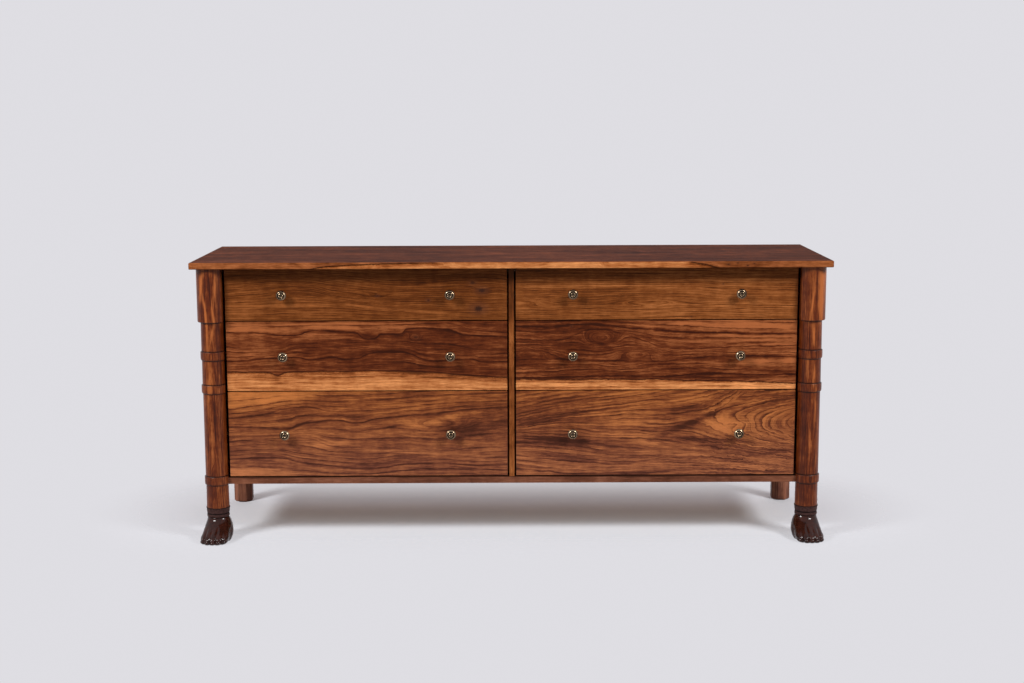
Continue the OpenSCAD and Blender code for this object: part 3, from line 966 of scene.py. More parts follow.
@dataclass(frozen=True)
class AgedBrass(Finish):
    """Old brass: bright where it is rubbed, brown in the grooves round the knobs' centres."""

    centres: tuple[Pair, ...]
    head_radius: float
    bright: Colour = (0.40, 0.285, 0.18)
    dull: Colour = (0.09, 0.055, 0.03)
    grime: Colour = (0.014, 0.009, 0.006)
    groove_in: Pair = (0.5, 0.57)
    groove_out: Pair = (0.75, 0.67)
    hollow: Pair = (0.34, 0.24)
    neck: Pair = (0.62, 0.45)
    neck_depth: Pair = (-14 * MM, -10 * MM)
    rim: Pair = (0.93, 1.0)
    roughness: float = 0.2
    relief: float = 0.05 * MM

    def paint(self, recipe: Recipe) -> None:
        """Lay clouded brass, with old dirt in the groove, hollow, neck and rim.

        Args:
            recipe: The material's recipe.
        """
        x, y, z = recipe.place()
        off = None
        for cx, cz in self.centres:
            dx, dz = x - cx, z - cz
            each = (dx * dx + dz * dz).root()
            off = each if off is None else off.least(each)
        share = off / self.head_radius
        groove = share.rise(*self.groove_in) * share.rise(*self.groove_out)
        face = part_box("top_left_drawer_front")[0][1]
        neck = share.rise(*self.neck) * (y - face).rise(*self.neck_depth)
        hollow, rim = share.rise(*self.hollow), share.rise(*self.rim)
        cloud = recipe.noise(x * 260.0, y * 260.0, z * 260.0, 3.0, 0.6)
        scratch = recipe.noise(x * 1500.0, y * 500.0, z * 1500.0, 2.0, 0.6)
        tone = 0.62 + cloud * 1.1 + scratch * 0.3
        dirt = (groove * 0.95).most(hollow * 0.85).most(neck * 0.55).most(rim * 0.8)
        brass = recipe.ramp(tone, (0.1, self.dull), (0.9, self.bright))
        colour = recipe.mix(dirt, brass, self.grime)
        roughness = self.roughness + cloud * 0.12 + dirt * 0.3
        height = 0.5 + scratch * 0.2 + cloud * 0.3
        recipe.surface(colour, roughness, height, self.relief, metallic=1.0)


@dataclass(frozen=True)
class Steel(Finish):
    """Bright steel of the screws, with fine turning marks."""

    pale: Colour = (0.62, 0.61, 0.59)
    dull: Colour = (0.34, 0.33, 0.32)
    roughness: float = 0.34
    relief: float = 0.03 * MM

    def paint(self, recipe: Recipe) -> None:
        """Lay the rubbed steel.

        Args:
            recipe: The material's recipe.
        """
        x, y, z = recipe.place_mm()
        rub = recipe.noise(x / 1.2, y / 1.2, z / 1.2, 3.0, 0.6)
        colour = recipe.ramp(0.55 + rub, (0.1, self.dull), (0.9, self.pale))
        roughness, height = self.roughness + rub * 0.2, 0.5 + rub * 0.4
        recipe.surface(colour, roughness, height, self.relief, metallic=1.0)


@dataclass(frozen=True)
class FloorPaper(Finish):
    """Pale paper on the floor, which fades into the backdrop away from the object's shadow.

    The fade starts beside and behind the middle of the shadow and is full at its reach. Only
    what is seen fades, so the paper still throws light back at the object.
    """

    tint: Colour = (0.634, 0.656, 0.700)
    tooth: Colour = (0.7, 0.69, 0.73)
    shadow_at: Pair = (0.82, 0.13)
    reach: float = 0.56

    def paint(self, recipe: Recipe) -> None:
        """Lay the paper and its fade.

        Args:
            recipe: The material's recipe.
        """
        x, y, _ = recipe.place()
        beside, depth = (abs(x) - self.shadow_at[0]).most(0.0), y - self.shadow_at[1]
        off = (beside * beside + depth * depth).root()
        fade = off.rise(0.0, self.reach) * recipe.seen()
        tooth = recipe.noise(x * 40.0, y * 40.0, 0.0) * 0.02 + 0.02
        colour = recipe.mix(tooth, self.tint, self.tooth)
        paper = recipe.node("ShaderNodeBsdfDiffuse", None, {"Color": colour})
        clear = recipe.node("ShaderNodeBsdfTransparent")
        sockets = {0: fade, 1: paper.outputs[0], 2: clear.outputs[0]}
        both = recipe.node("ShaderNodeMixShader", None, sockets)
        recipe.node("ShaderNodeOutputMaterial", None, {"Surface": both.outputs[0]})


# Meshes --------------------------------------------------------------------


def add_object(name: str, data: bpy.types.ID) -> bpy.types.Object:
    """Add an object to the scene.

    Args:
        name: The object's name.
        data: Its mesh, lamp or camera.

    Returns:
        The object.
    """
    made = bpy.data.objects.new(name, data)
    bpy.context.scene.collection.objects.link(made)
    return made


def mesh_piece(name: str, points: np.ndarray, faces: Sequence[Sequence[int]]) -> bpy.types.Object:
    """Make a smooth mesh object from points and faces.

    Args:
        name: The piece's name.
        points: One row of x, y and z for each point.
        faces: The points of each face, going round anticlockwise as seen from outside.

    Returns:
        The new object, linked to the scene.
    """
    mesh = bpy.data.meshes.new(name)
    mesh.from_pydata([tuple(p) for p in points], [], [tuple(f) for f in faces])
    mesh.validate()
    mesh.polygons.foreach_set("use_smooth", [True] * len(mesh.polygons))
    mesh.update()
    return add_object(name, mesh)


def circle(steps: int, start: float = 0.0) -> np.ndarray:
    """Evenly spaced angles round a circle, as one row, from a start in degrees."""
    return np.radians(np.arange(steps) * 360.0 / steps + start)[None, :]


def lathe(outline: Sequence[Pair], steps: int) -> tuple[np.ndarray, np.ndarray, np.ndarray]:
    """Turn an outline round an upright axis.

    Args:
        outline: Its points, as radii and heights.
        steps: How many points each ring has.

    Returns:
        The rings' places sideways, forwards and up.
    """
    a = circle(steps)
    r, height = (np.array(column)[:, None] for column in zip(*outline))
    return r * np.sin(a), -r * np.cos(a), height + 0 * a


def skin(rings: np.ndarray, first: int = 0) -> list[list[int]]:
    """Faces that join rings of points, with a fan over each end.

    Args:
        rings: Points of each ring, top ring first, each going anticlockwise as seen from above.
            Two more points, the middles of the two ends, follow the rings in the point list.
        first: The number of the first point.

    Returns:
        The faces.
    """
    count, steps = rings.shape[:2]
    faces = []
    for k in range(count - 1):
        upper, lower = first + k * steps, first + (k + 1) * steps
        for j in range(steps):
            n = (j + 1) % steps
            faces.append([upper + j, lower + j, lower + n, upper + n])
    top, bottom = first + count * steps, first + count * steps + 1
    last = first + (count - 1) * steps
    for j in range(steps):
        n = (j + 1) % steps
        faces.append([top, first + j, first + n])
        faces.append([bottom, last + n, last + j])
    return faces


MOST_OF_AN_EDGE = 0.45


def rounded(outline: Sequence[Pair], corner: float, steps: int = 4) -> list[Pair]:
    """Round the corners of an open outline.

    Args:
        outline: Its points.
        corner: The longest piece of an edge that a rounding may take.
        steps: How many edges each rounding has.

    Returns:
        The outline with each inner corner turned into a small curve.
    """
    made = [outline[0]]
    for here, *others in zip(outline[1:], outline, outline[2:]):
        p = np.array(here, float)
        ends = []
        for other in others:
            way = np.array(other, float) - p
            size = float(np.linalg.norm(way))
            ends.append(p + way / size * min(corner, MOST_OF_AN_EDGE * size))
        for t in np.linspace(0.0, 1.0, steps + 1):
            q = (1 - t) ** 2 * ends[0] + 2 * t * (1 - t) * p + t**2 * ends[1]
            made.append((float(q[0]), float(q[1])))
    made.append(outline[-1])
    return made


def eased(t: np.ndarray) -> np.ndarray:
    """A smooth step from 0 to 1 as t goes from 0 to 1."""
    t = np.clip(t, 0.0, 1.0)
    return t * t * (3 - 2 * t)


def ease_arrises(piece: bpy.types.Object, width: float, away: Sequence[str] = ()) -> None:
    """Take the sharp arrises off the outer edges of a board.

    Args:
        piece: The board, a node of the frame; its own mesh stays as it is.
        width: Width of the eased edge.
        away: Sides of the board whose edges stay sharp, such as "+y".
    """
    mesh = piece.data
    points = np.empty(len(mesh.vertices) * 3, np.float32)
    mesh.vertices.foreach_get("co", points)
    points = points.reshape(-1, 3)
    sides = {}
    for places, letter in zip(points.T, "xyz"):
        sides["-" + letter] = np.abs(places - places.min()) < SAME_PLANE
        sides["+" + letter] = np.abs(places - places.max()) < SAME_PLANE
    weights = mesh.attributes.new("bevel_weight_edge", "FLOAT", "EDGE")
    for edge in mesh.edges:
        a, b = edge.vertices
        shared = [side for side, on in sides.items() if on[a] and on[b]]
        if len(shared) >= 2 and not set(shared) & set(away):
            weights.data[edge.index].value = 1.0
    flatten(piece)
    weld = piece.modifiers.new("joined_faces", "WELD")
    weld.merge_threshold = SAME_POINT
    bevel = piece.modifiers.new("eased_arrises", "BEVEL")
    bevel.limit_method = "WEIGHT"
    bevel.width = width
    bevel.segments = ARRIS_STEPS
    bevel.use_clamp_overlap = True


def flatten(piece: bpy.types.Object) -> None:
    """Shade a board's faces flat, as its sides are.

    Args:
        piece: The board.
    """
    mesh = piece.data
    own = mesh.attributes.get("custom_normal")
    if own is not None:
        mesh.attributes.remove(own)
    mesh.polygons.foreach_set("use_smooth", [False] * len(mesh.polygons))


# Sub-assemblies ------------------------------------------------------------


class Side(Enum):
    """The two ends of the dresser."""

    LEFT = -1
    RIGHT = 1

    @property
    def label(self) -> str:
        """The side's name in the pieces' names."""
        return self.name.lower()


class Row(Enum):
    """The three rows of drawers."""

    TOP = "top"
    MIDDLE = "middle"
    BOTTOM = "bottom"


def column_axis(side: Side) -> Vector:
    """The foot of a column's axis, inside a front corner of the top board."""
    low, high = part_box("top_board")
    return Vector(((high.x - OVERHANG) * side.value, low.y + OVERHANG, 0.0))


@dataclass(frozen=True)
class Swelling:
    """A swelling on the paw: its place and spread, from 0 at the ankle to 1, and its depth."""

    middle: float
    spread: float
    depth: float

    def at(self, t: np.ndarray) -> np.ndarray:
        """How deep it is at places from the ankle down."""
        return self.depth * np.exp(-(((t - self.middle) / self.spread) ** 2))


@dataclass
class CarvedFoot:
    """A lion's paw under two ankle bands, in the place of the plain carved foot."""

    side: Side
    ankle_height: float = 0.030
    foot_height: float = 0.095
    toe_reach: float = 0.092
    heel_reach: float = 0.033
    half_width: float = 0.045
    inner_swell: float = 0.004
    neck: float = 0.031
    ankle: float = 0.0326
    flare: float = 0.0344
    socket: float = 0.020
    groove_share: float = 0.36
    groove_shade: float = 0.39
    corner: float = 0.0011
    toes: int = 5
    toe_groove: float = 0.0062
    toe_groove_span: Pair = (0.26, 0.62)
    toe_groove_sharpness: float = 1.9
    toe_spread: float = 88.0
    toe_fade: float = 24.0
    front_power: float = 2.7
    toe_share: float = 0.86
    heel_share: float = 0.62
    sole_tuck: float = 0.005
    tendon: float = 0.0010
    tendon_start: Pair = (0.24, 0.24)
    tendon_end: Pair = (0.8, 0.3)
    knuckle: Swelling = Swelling(0.73, 0.06, 0.0030)
    joint: Swelling = Swelling(0.845, 0.028, 0.0012)
    claw: Swelling = Swelling(0.925, 0.045, 0.0022)
    claw_width: float = 0.42
    pad: Swelling = Swelling(0.8, 0.09, 0.0016)
    least_cut: float = 0.0002
    turn: float = 4.0
    rings: int = 120
    steps: int = 264
    ankle_steps: int = 128

    @property
    def ankle_low(self) -> float:
        """The height of the lower end of the ankle bands."""
        return self.foot_height - self.ankle_height

    def paw_points(self) -> np.ndarray:
        """The paw as rings of points, right side, about its own axis.

        Returns:
            One ring for each height from the ankle down to the sole.
        """
        t = np.linspace(0.0, 1.0, self.rings)[:, None]
        a = circle(self.steps, -180.0)
        grown = eased(t / self.toe_share)
        length = self.neck + ((self.toe_reach + self.heel_reach) / 2 - self.neck) * grown
        bulge = np.sin(np.pi / 2 * np.minimum(1, t / self.toe_share))
        width = self.neck + (self.half_width - self.neck) * bulge
        shift = (self.toe_reach - self.heel_reach) / 2 * grown
        lean = -4 * self.inner_swell * t * (1 - t)
        power = np.where(np.abs(a) < np.pi / 2, 2 + (self.front_power - 2) * grown, 2.0)
        plain = (np.abs(np.sin(a)) / width) ** power + (np.abs(np.cos(a)) / length) ** power
        plain = plain ** (-1 / power)
        in_toes = eased((self.toe_spread - np.degrees(np.abs(a))) / self.toe_fade)
        in_toes = in_toes * np.ones_like(t)
        phase = self.toes * (plain * np.sin(a) / width + 1) / 2
        off_crest = np.abs(2 * (phase - np.floor(phase)) - 1)
        valley = off_crest ** (1 + self.toe_groove_sharpness * t) * in_toes
        crest = (1 - off_crest**2) ** 2 * in_toes
        start, span = self.toe_groove_span
        groove = self.toe_groove * eased((t - start) / span) * valley
        (first, rise), (last, fall) = self.tendon_start, self.tendon_end
        beside = self.tendon * eased((t - first) / rise) * eased((last - t) / fall)
        groove += beside * (1 - crest) * in_toes
        knuckle = self.knuckle.at(t) * crest
        joint = self.joint.at(t) * in_toes
        claw = self.claw.at(t) * np.exp(-((off_crest / self.claw_width) ** 2)) * in_toes
        share = self.heel_share + (self.toe_share - self.heel_share) * in_toes
        tuck = self.sole_tuck * (np.maximum(0, t - share) / (1 - share)) ** 2
        pads = self.pad.at(t) * np.cos(3 * a) ** 2 * (1 - in_toes)
        r = plain - groove + knuckle - joint + claw - tuck - pads
        r = np.minimum(r, plain - self.least_cut)
        x, y = r * np.sin(a) + lean, -r * np.cos(a) - shift
        turn = math.radians(self.turn)
        sine, cosine = math.sin(turn), math.cos(turn)
        height = self.ankle_low * (1 - t) + 0 * r
        return np.stack([x * cosine - y * sine, x * sine + y * cosine, height], axis=-1)

    def ankle_points(self) -> np.ndarray:
        """The two ankle bands as rings of points.

        Returns:
            One ring for each point of their outline, top ring first.
        """
        low, up = self.ankle_low, self.foot_height
        groove = low + self.groove_share * self.ankle_height
        ankle, flare, socket = self.ankle, self.flare, self.socket
        outline = [
            (socket, up), (flare - 0.0006, up), (flare, up - 0.0012), (flare, up - 0.0030),
            (flare - 0.0009, up - 0.0048), (ankle, up - 0.0135),
            (ankle + 0.0001, groove + 0.0052), (ankle - 0.0005, groove + 0.0022),
            (ankle - 0.0021, groove + 0.0016), (ankle - 0.0021, groove),
            (ankle - 0.0006, groove - 0.0006), (ankle + 0.0001, groove - 0.0055),
            (ankle - 0.0003, low + 0.0024), (ankle - 0.0018, low + 0.0006),
            (self.neck - 0.0010, low - 0.0010), (socket, low - 0.0012),
        ]
        return np.stack(lathe(rounded(outline, self.corner), self.ankle_steps), axis=-1)

    def build(self) -> bpy.types.Object:
        """Carve the foot and set it under its column.

        Returns:
            The piece.
        """
        axis = np.array(column_axis(Side.RIGHT))
        mirror = np.array([self.side.value, 1.0, 1.0])
        points, faces, kinds = [], [], []
        start = 0
        for kind, rings in enumerate((self.paw_points(), self.ankle_points())):
            ends = np.array([rings[0].mean(0), rings[-1].mean(0)])
            part = np.concatenate([rings.reshape(-1, 3), ends])
            points.append((part + axis) * mirror)
            faces += [face[:: self.side.value] for face in skin(rings, start)]
            kinds += [kind] * (len(faces) - len(kinds))
            start += len(part)
        label = self.side.label
        piece = mesh_piece(f"{label}_carved_foot", np.concatenate(points), faces)
        low = self.ankle_low
        # Painted shade lines go at the bands' lower edge, in their groove and at their top.
        shade = low + self.groove_shade * self.ankle_height
        bands = AnkleBand((low, shade, self.foot_height))
        piece.data.materials.append(CarvedGloss().material(f"{label}_paw_gloss"))
        piece.data.materials.append(bands.material(f"{label}_ankle_wax"))
        piece.data.polygons.foreach_set("material_index", kinds)
        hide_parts(f"{self.side.label}_paw_foot")
        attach(piece, "case")
        return piece


@dataclass
class KnobPair:
    """The two turned brass knobs of one drawer, which is named by its body."""

    drawer: str
    head_radius: float = 0.015
    stand_out: float = 0.026
    inset: float = 0.164
    corner: float = 0.0012
    corner_steps: int = 3
    steps: int = 72

    def outline(self) -> list[Pair]:
        """The knob's outline.

        Returns:
            Distances out from the drawer's face and radii, foot first.
        """
        r, out = self.head_radius, self.stand_out
        points = [
            (0.0, 0.0070), (0.0, 0.0080), (0.0012, 0.0080), (0.0021, 0.0072), (0.0026, 0.0060),
            (0.0040, 0.0048), (0.0080, 0.0043), (out - 0.0125, 0.0045), (out - 0.0112, 0.0058),
            (out - 0.0105, 0.0085), (out - 0.0098, r - 0.0026), (out - 0.0088, r - 0.0007),
            (out - 0.0072, r), (out - 0.0056, r - 0.0004), (out - 0.0026, r - 0.0034),
            (out - 0.0022, r - 0.0044), (out - 0.0030, r - 0.0054), (out - 0.0044, r - 0.0060),
            (out - 0.0038, 0.0084), (out - 0.0012, 0.0070), (out - 0.0003, 0.0060),
            (out - 0.0006, 0.0050), (out - 0.0026, 0.0040), (out - 0.0036, 0.0026),
            (out - 0.0040, 0.0012), (out - 0.0040, 0.0),
        ]
        return rounded(points, self.corner, self.corner_steps)

    def build(self) -> bpy.types.Object:
        """Turn both knobs and set them on their drawer.

        Returns:
            The piece.
        """
        low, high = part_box(f"{self.drawer}_front")
        middle = (low.z + high.z) / 2
        centres = ((low.x + self.inset, middle), (high.x - self.inset, middle))
        outline = [(radius, out) for out, radius in reversed(self.outline())]
        beside, above, out = lathe(outline[1:], self.steps)
        points, faces = [], []
        start = 0
        for cx, cz in centres:
            rings = np.stack([cx + beside, low.y - out, cz + above], axis=-1)
            ends = np.array([[cx, low.y - outline[0][1], cz], [cx, low.y, cz]])
            points.append(np.concatenate([rings.reshape(-1, 3), ends]))
            faces += [face[::-1] for face in skin(rings, start)]
            start += len(points[-1])
        piece = mesh_piece(f"{self.drawer}_knob_pair", np.concatenate(points), faces)
        AgedBrass(centres, self.head_radius).dress(piece, f"{self.drawer}_aged_brass")
        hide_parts(f"{self.drawer}_knobs")
        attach(piece, self.drawer)
        return piece


OLIVE = Tones((0.088, 0.021, 0.003), (0.142, 0.039, 0.007), (0.215, 0.066, 0.016))
GOLDEN = Tones((0.130, 0.034, 0.006), (0.200, 0.059, 0.013), (0.300, 0.100, 0.027))
RUSSET = Tones((0.068, 0.013, 0.003), (0.124, 0.028, 0.007), (0.238, 0.071, 0.022))
HONEY = Tones((0.150, 0.040, 0.008), (0.230, 0.069, 0.017), (0.345, 0.117, 0.032))
BROWN = Tones((0.108, 0.027, 0.009), (0.196, 0.053, 0.015), (0.322, 0.104, 0.027))
PLUM = Tones((0.110, 0.032, 0.018), (0.196, 0.060, 0.026), (0.305, 0.104, 0.040))

BOARD = 809.5


def level(*heights: float) -> tuple[Pair, ...]:
    """A line along a drawer front, from its heights at places evenly spaced along it."""
    step = BOARD / (len(heights) - 1)
    return tuple((k * step, height) for k, height in enumerate(heights))


FRONTS: dict[tuple[Row, Side], Figure] = {
    (Row.TOP, Side.LEFT): Figure(
        OLIVE, sway=(3, 1), lines=0.7, bands=0.8, seed=3.1,
        guides=(
            Guide(level(-6, -6), 2), Guide(level(4, 5, 6, 7, 7, 8, 8, 7, 7), 5),
            Guide(level(40, 42, 46, 45, 37, 27, 20, 17, 21), 4),
            Guide(level(66, 73, 78, 66, 54, 46, 41, 37, 40), 4),
            Guide(level(88, 97, 100, 83, 71, 68, 66, 62, 62), 4),
            Guide(level(110, 117, 119, 110, 97, 90, 90, 92, 84), 3),
            Guide(level(129, 134, 134, 127, 117, 110, 112, 117, 107), 4),
            Guide(level(152, 154, 156, 150, 143, 134, 134, 140, 133), 2),
            Guide(level(170, 170), 0),
        ),
        hills=(Hill(443, 71, 48, 7, 1.6), Hill(737, 88, 30, 12, 1.2)),
        streaks=(
            Streak(190, 44, 200, 5, 0.34, 0.005), Streak(500, 31, 150, 4, 0.26, -0.085),
            Streak(440, 71, 34, 3.5, -0.42), Streak(668, 86, 26, 7, -0.2),
            Streak(30, 22, 150, 42, 0.2), Streak(380, 92, 190, 26, -0.2),
            Streak(300, 16, 90, 12, 0.16), Streak(735, 60, 60, 40, -0.12),
        ),
        knots=(
            Knot(738, 86, 8.5, 0.85), Knot(728, 33, 11, 0.95), Knot(712, 108, 6, 0.7),
            Knot(584, 58, 3.4, 0.8), Knot(438, 71, 3, 0.7),
        ),
    ),
    (Row.MIDDLE, Side.LEFT): Figure(
        RUSSET, sway=(3.5, 1.9), lines=0.6, bands=0.65, seed=7.7,
        guides=(
            Guide(level(-6, -6), 4), Guide(level(56, 58, 58, 56, 58, 58, 54, 46, 39), 2),
            Guide(((0, 86), (60, 90), (100, 95), (200, 98), (240, 92), (300, 98), (350, 92),
                (400, 105), (440, 113), (500, 113), (560, 95), (620, 88), (700, 92), (740, 84),
                (BOARD, 84)), 3, 0.42),
            Guide(((0, 132), (100, 125), (160, 130), (220, 150), (330, 152), (400, 148),
                (480, 146), (560, 143), (640, 138), (720, 122), (BOARD, 117)), 1),
            Guide(((0, 172), (60, 172), (120, 168), (190, 163), (230, 172), (260, 176), (370, 171),
                (390, 158), (412, 152), (436, 158), (450, 167), (500, 166), (518, 180), (545, 182),
                (620, 181), (660, 172), (700, 162), (740, 160), (BOARD, 155)), 1, 0.5),
            Guide(level(188, 190, 191, 192, 192, 193, 197, 178, 171), 2, 0.15),
            Guide(level(212, 212), 0),
        ),
        hills=(Hill(545, 156, 14, 9, 1.6),),
        streaks=(
            Streak(370, 188, 200, 12, 0.42, -0.01), Streak(60, 178, 170, 26, 0.42, -0.04),
            Streak(70, 112, 110, 16, 0.14), Streak(330, 110, 330, 28, -0.12),
            Streak(250, 140, 110, 14, -0.24), Streak(700, 50, 200, 26, -0.26),
            Streak(412, 161, 28, 8, -0.3), Streak(480, 116, 40, 4, -0.4),
            Streak(650, 150, 120, 20, -0.1),
        ),
        sapwood=(
            Sapwood(((0, 55), (100, 56), (126, 53), (147, 44), (160, 52), (178, 56), (300, 56),
                (405, 58), (500, 57), (600, 53), (680, 45), (760, 40), (BOARD, 38)), 3),
        ),
        knots=(Knot(548, 156, 5, 0.5),),
    ),
    (Row.BOTTOM, Side.LEFT): Figure(
        BROWN, PLUM, sway=(4, 1.8), lines=0.6, bands=0.55, seed=12.4,
        guides=(
            Guide(level(-8, -8), 2), Guide(level(29, 27, 20, 10, 8, 16, 20, 19, 15), 1, 0.3),
            Guide(level(51, 55, 42, 30, 22, 33, 36, 31, 33), 2, 0.3),
            Guide(level(76, 80, 68, 57, 52, 64, 63, 56, 55), 2),
            Guide(level(106, 112, 115, 90, 85, 84, 75, 83, 90), 3),
            Guide(((0, 148), (100, 146), (170, 142), (200, 155), (270, 163), (310, 167),
                (370, 160), (420, 170), (520, 180), (620, 186), (700, 197), (BOARD, 204)), 2,
                0.36),
            Guide(((0, 174), (100, 184), (200, 204), (230, 205), (300, 192), (400, 196),
                (500, 203), (600, 213), (700, 218), (BOARD, 222)), 2, 0.2),
            Guide(level(198, 212, 224, 222, 226, 233, 237, 241, 246), 3, 0.3),
            Guide(level(275, 280), 0),
        ),
        hills=(Hill(610, 150, 80, 16, 1.2),),
        streaks=(
            Streak(80, 232, 170, 24, 0.46, 0.04), Streak(60, 12, 190, 16, 0.5, -0.03),
            Streak(610, 165, 110, 10, 0.3, 0.22), Streak(700, 128, 110, 26, -0.42, 0.06),
            Streak(290, 96, 70, 9, 0.26, 0.1), Streak(560, 68, 150, 4, 0.3, -0.05),
            Streak(200, 150, 26, 3.5, -0.5, 0.4), Streak(475, 146, 20, 3, -0.5, 0.1),
            Streak(90, 180, 100, 7, -0.24, 0.14),
        ),
    ),
    (Row.TOP, Side.RIGHT): Figure(
        GOLDEN, sway=(2.6, 0.9), lines=0.8, bands=0.7, seed=21.9,
        guides=(
            Guide(level(-6, -6), 3), Guide(level(11, 12, 14, 11, 15, 17, 16, 13, 12), 3),
            Guide(level(28, 29, 34, 30, 30, 35, 34, 28, 26), 4), Guide(level(54, 54), 4),
            Guide(level(80, 80, 74, 76, 76, 73, 66, 65, 66), 3),
            Guide(level(98, 98, 97, 97, 97, 96, 90, 87, 85), 4),
            Guide(level(119, 119, 119, 120, 119, 118, 114, 112, 110), 5),
            Guide(level(160, 160), 0),
        ),
        hills=(Hill(380, 54, 105, 11, -3.6), Hill(10, 54, 80, 14, -3.4)),
        streaks=(
            Streak(260, 97, 260, 4.5, 0.34, 0), Streak(205, 54, 40, 12, -0.24),
            # Streak(40, 148, ...) is painted shade: it darkens the front's upper left, under the
            # top board.
            Streak(700, 70, 120, 30, -0.1), Streak(40, 148, 170, 16, -0.24),
            Streak(150, 74, 220, 48, -0.17),
        ),
        knots=(Knot(595, 102, 1.8, 0.8), Knot(505, 7, 2.4, 0.5)),
    ),
    (Row.MIDDLE, Side.RIGHT): Figure(
        RUSSET, sway=(3.2, 2.4), lines=0.65, bands=0.9, seed=31.3, curl=(2.4, -200),
        guides=(
            Guide(level(-6, -6), 3), Guide(level(36, 38, 39, 41, 39, 44, 46, 42, 44), 1, 0.5),
            Guide(level(51, 56, 61, 54, 61, 64, 60, 56, 54), 2, 0.15),
            Guide(level(71, 76, 76, 68, 76, 76, 74, 76, 76), 1),
            Guide(level(85, 90, 86, 84, 84, 94, 98, 98, 94), 5, 0.3),
            Guide(((0, 149), (100, 146), (170, 160), (225, 178), (300, 165), (380, 140),
                (430, 122), (500, 119), (600, 123), (BOARD, 128)), 3, 0.3),
            Guide(level(187, 185, 192, 184, 175, 168, 166, 163, 163), 1, 0.5, 3.4),
            Guide(level(200, 200, 203, 198, 191, 185, 180, 178, 176), 2, 0.2),
            Guide(level(216, 216), 0),
        ),
        hills=(
            Hill(245, 150, 46, 24, 6), Hill(40, 112, 90, 20, -2.6), Hill(360, 108, 70, 17, -2.4),
        ),
        streaks=(
            Streak(650, 190, 230, 14, 0.6, -0.03), Streak(590, 12, 280, 14, 0.17),
            Streak(700, 140, 260, 46, 0.26), Streak(150, 150, 240, 60, -0.16),
            Streak(230, 199, 160, 9, -0.2), Streak(708, 84, 25, 4.5, 0.5),
            Streak(790, 85, 22, 7, 0.5), Streak(566, 48, 34, 3.5, -0.5),
            Streak(794, 45, 24, 3.5, -0.5), Streak(620, 70, 150, 12, 0.16),
            Streak(590, 35, 190, 4, -0.35), Streak(252, 131, 26, 7, -0.25, -0.4),
            Streak(60, 170, 120, 12, 0.12),
        ),
        sapwood=(Sapwood(level(31, 32, 31, 31, 30, 26, 26, 22, 17), 3, 11),),
        knots=(Knot(160, 186, 2.4, 0.6),),
    ),
    (Row.BOTTOM, Side.RIGHT): Figure(
        BROWN, PLUM, sway=(5, 3.6), lines=0.8, bands=1.3, seed=44.2, curl=(6, 470),
        guides=(
            Guide(level(-8, -8), 1), Guide(level(21, 11, 6, 9, 14, 16, 16, 14, 6), 3, 0.3),
            Guide(level(58, 48, 39, 36, 44, 41, 41, 34, 19), 2, 0.3),
            Guide(level(76, 71, 61, 53, 53, 56, 58, 50, 40), 2),
            Guide(level(100, 95, 88, 73, 76, 83, 86, 80, 58), 1, 0.15),
            Guide(((0, 112), (100, 108), (200, 98), (300, 99), (400, 104), (500, 103), (600, 98),
                (BOARD, 84)), 3),
            Guide(((0, 128), (100, 135), (200, 140), (300, 135), (400, 128), (450, 140),
                (520, 165), (600, 200), (660, 236), (720, 262), (BOARD, 290)), 7),
            Guide(((0, 150), (100, 172), (200, 186), (300, 200), (400, 214), (500, 232),
                (600, 256), (BOARD, 320)), 6, 0.2),
            Guide(((0, 200), (100, 222), (200, 236), (300, 250), (400, 268), (BOARD, 350)), 4,
                0.2),
            Guide(((0, 270), (400, 320), (BOARD, 400)), 0),
        ),
        hills=(
            Hill(1040, 150, 420, 86, 20), Hill(650, 150, 40, 16, -1.4),
            Hill(240, 150, 80, 30, 1.3),
        ),
        streaks=(
            Streak(150, 104, 130, 8, -0.5, -0.1), Streak(520, 158, 120, 9, -0.5, 0.42),
            Streak(520, 200, 160, 22, -0.14, 0.4), Streak(540, 104, 130, 8, -0.5, -0.03),
            Streak(600, 148, 80, 18, 0.2, 0.05), Streak(700, 165, 120, 44, 0.2, 0.3),
            Streak(770, 70, 50, 9, -0.5), Streak(100, 170, 90, 10, -0.2, 0.25),
            Streak(300, 160, 120, 12, 0.12, 0.12), Streak(540, 226, 110, 20, 0.26),
            Streak(720, 100, 80, 22, 0.2), Streak(300, 30, 120, 17, 0.22),
            Streak(700, 28, 90, 17, 0.2),
        ),
        knots=(Knot(85, 81, 1.6, 0.8),),
    ),
}


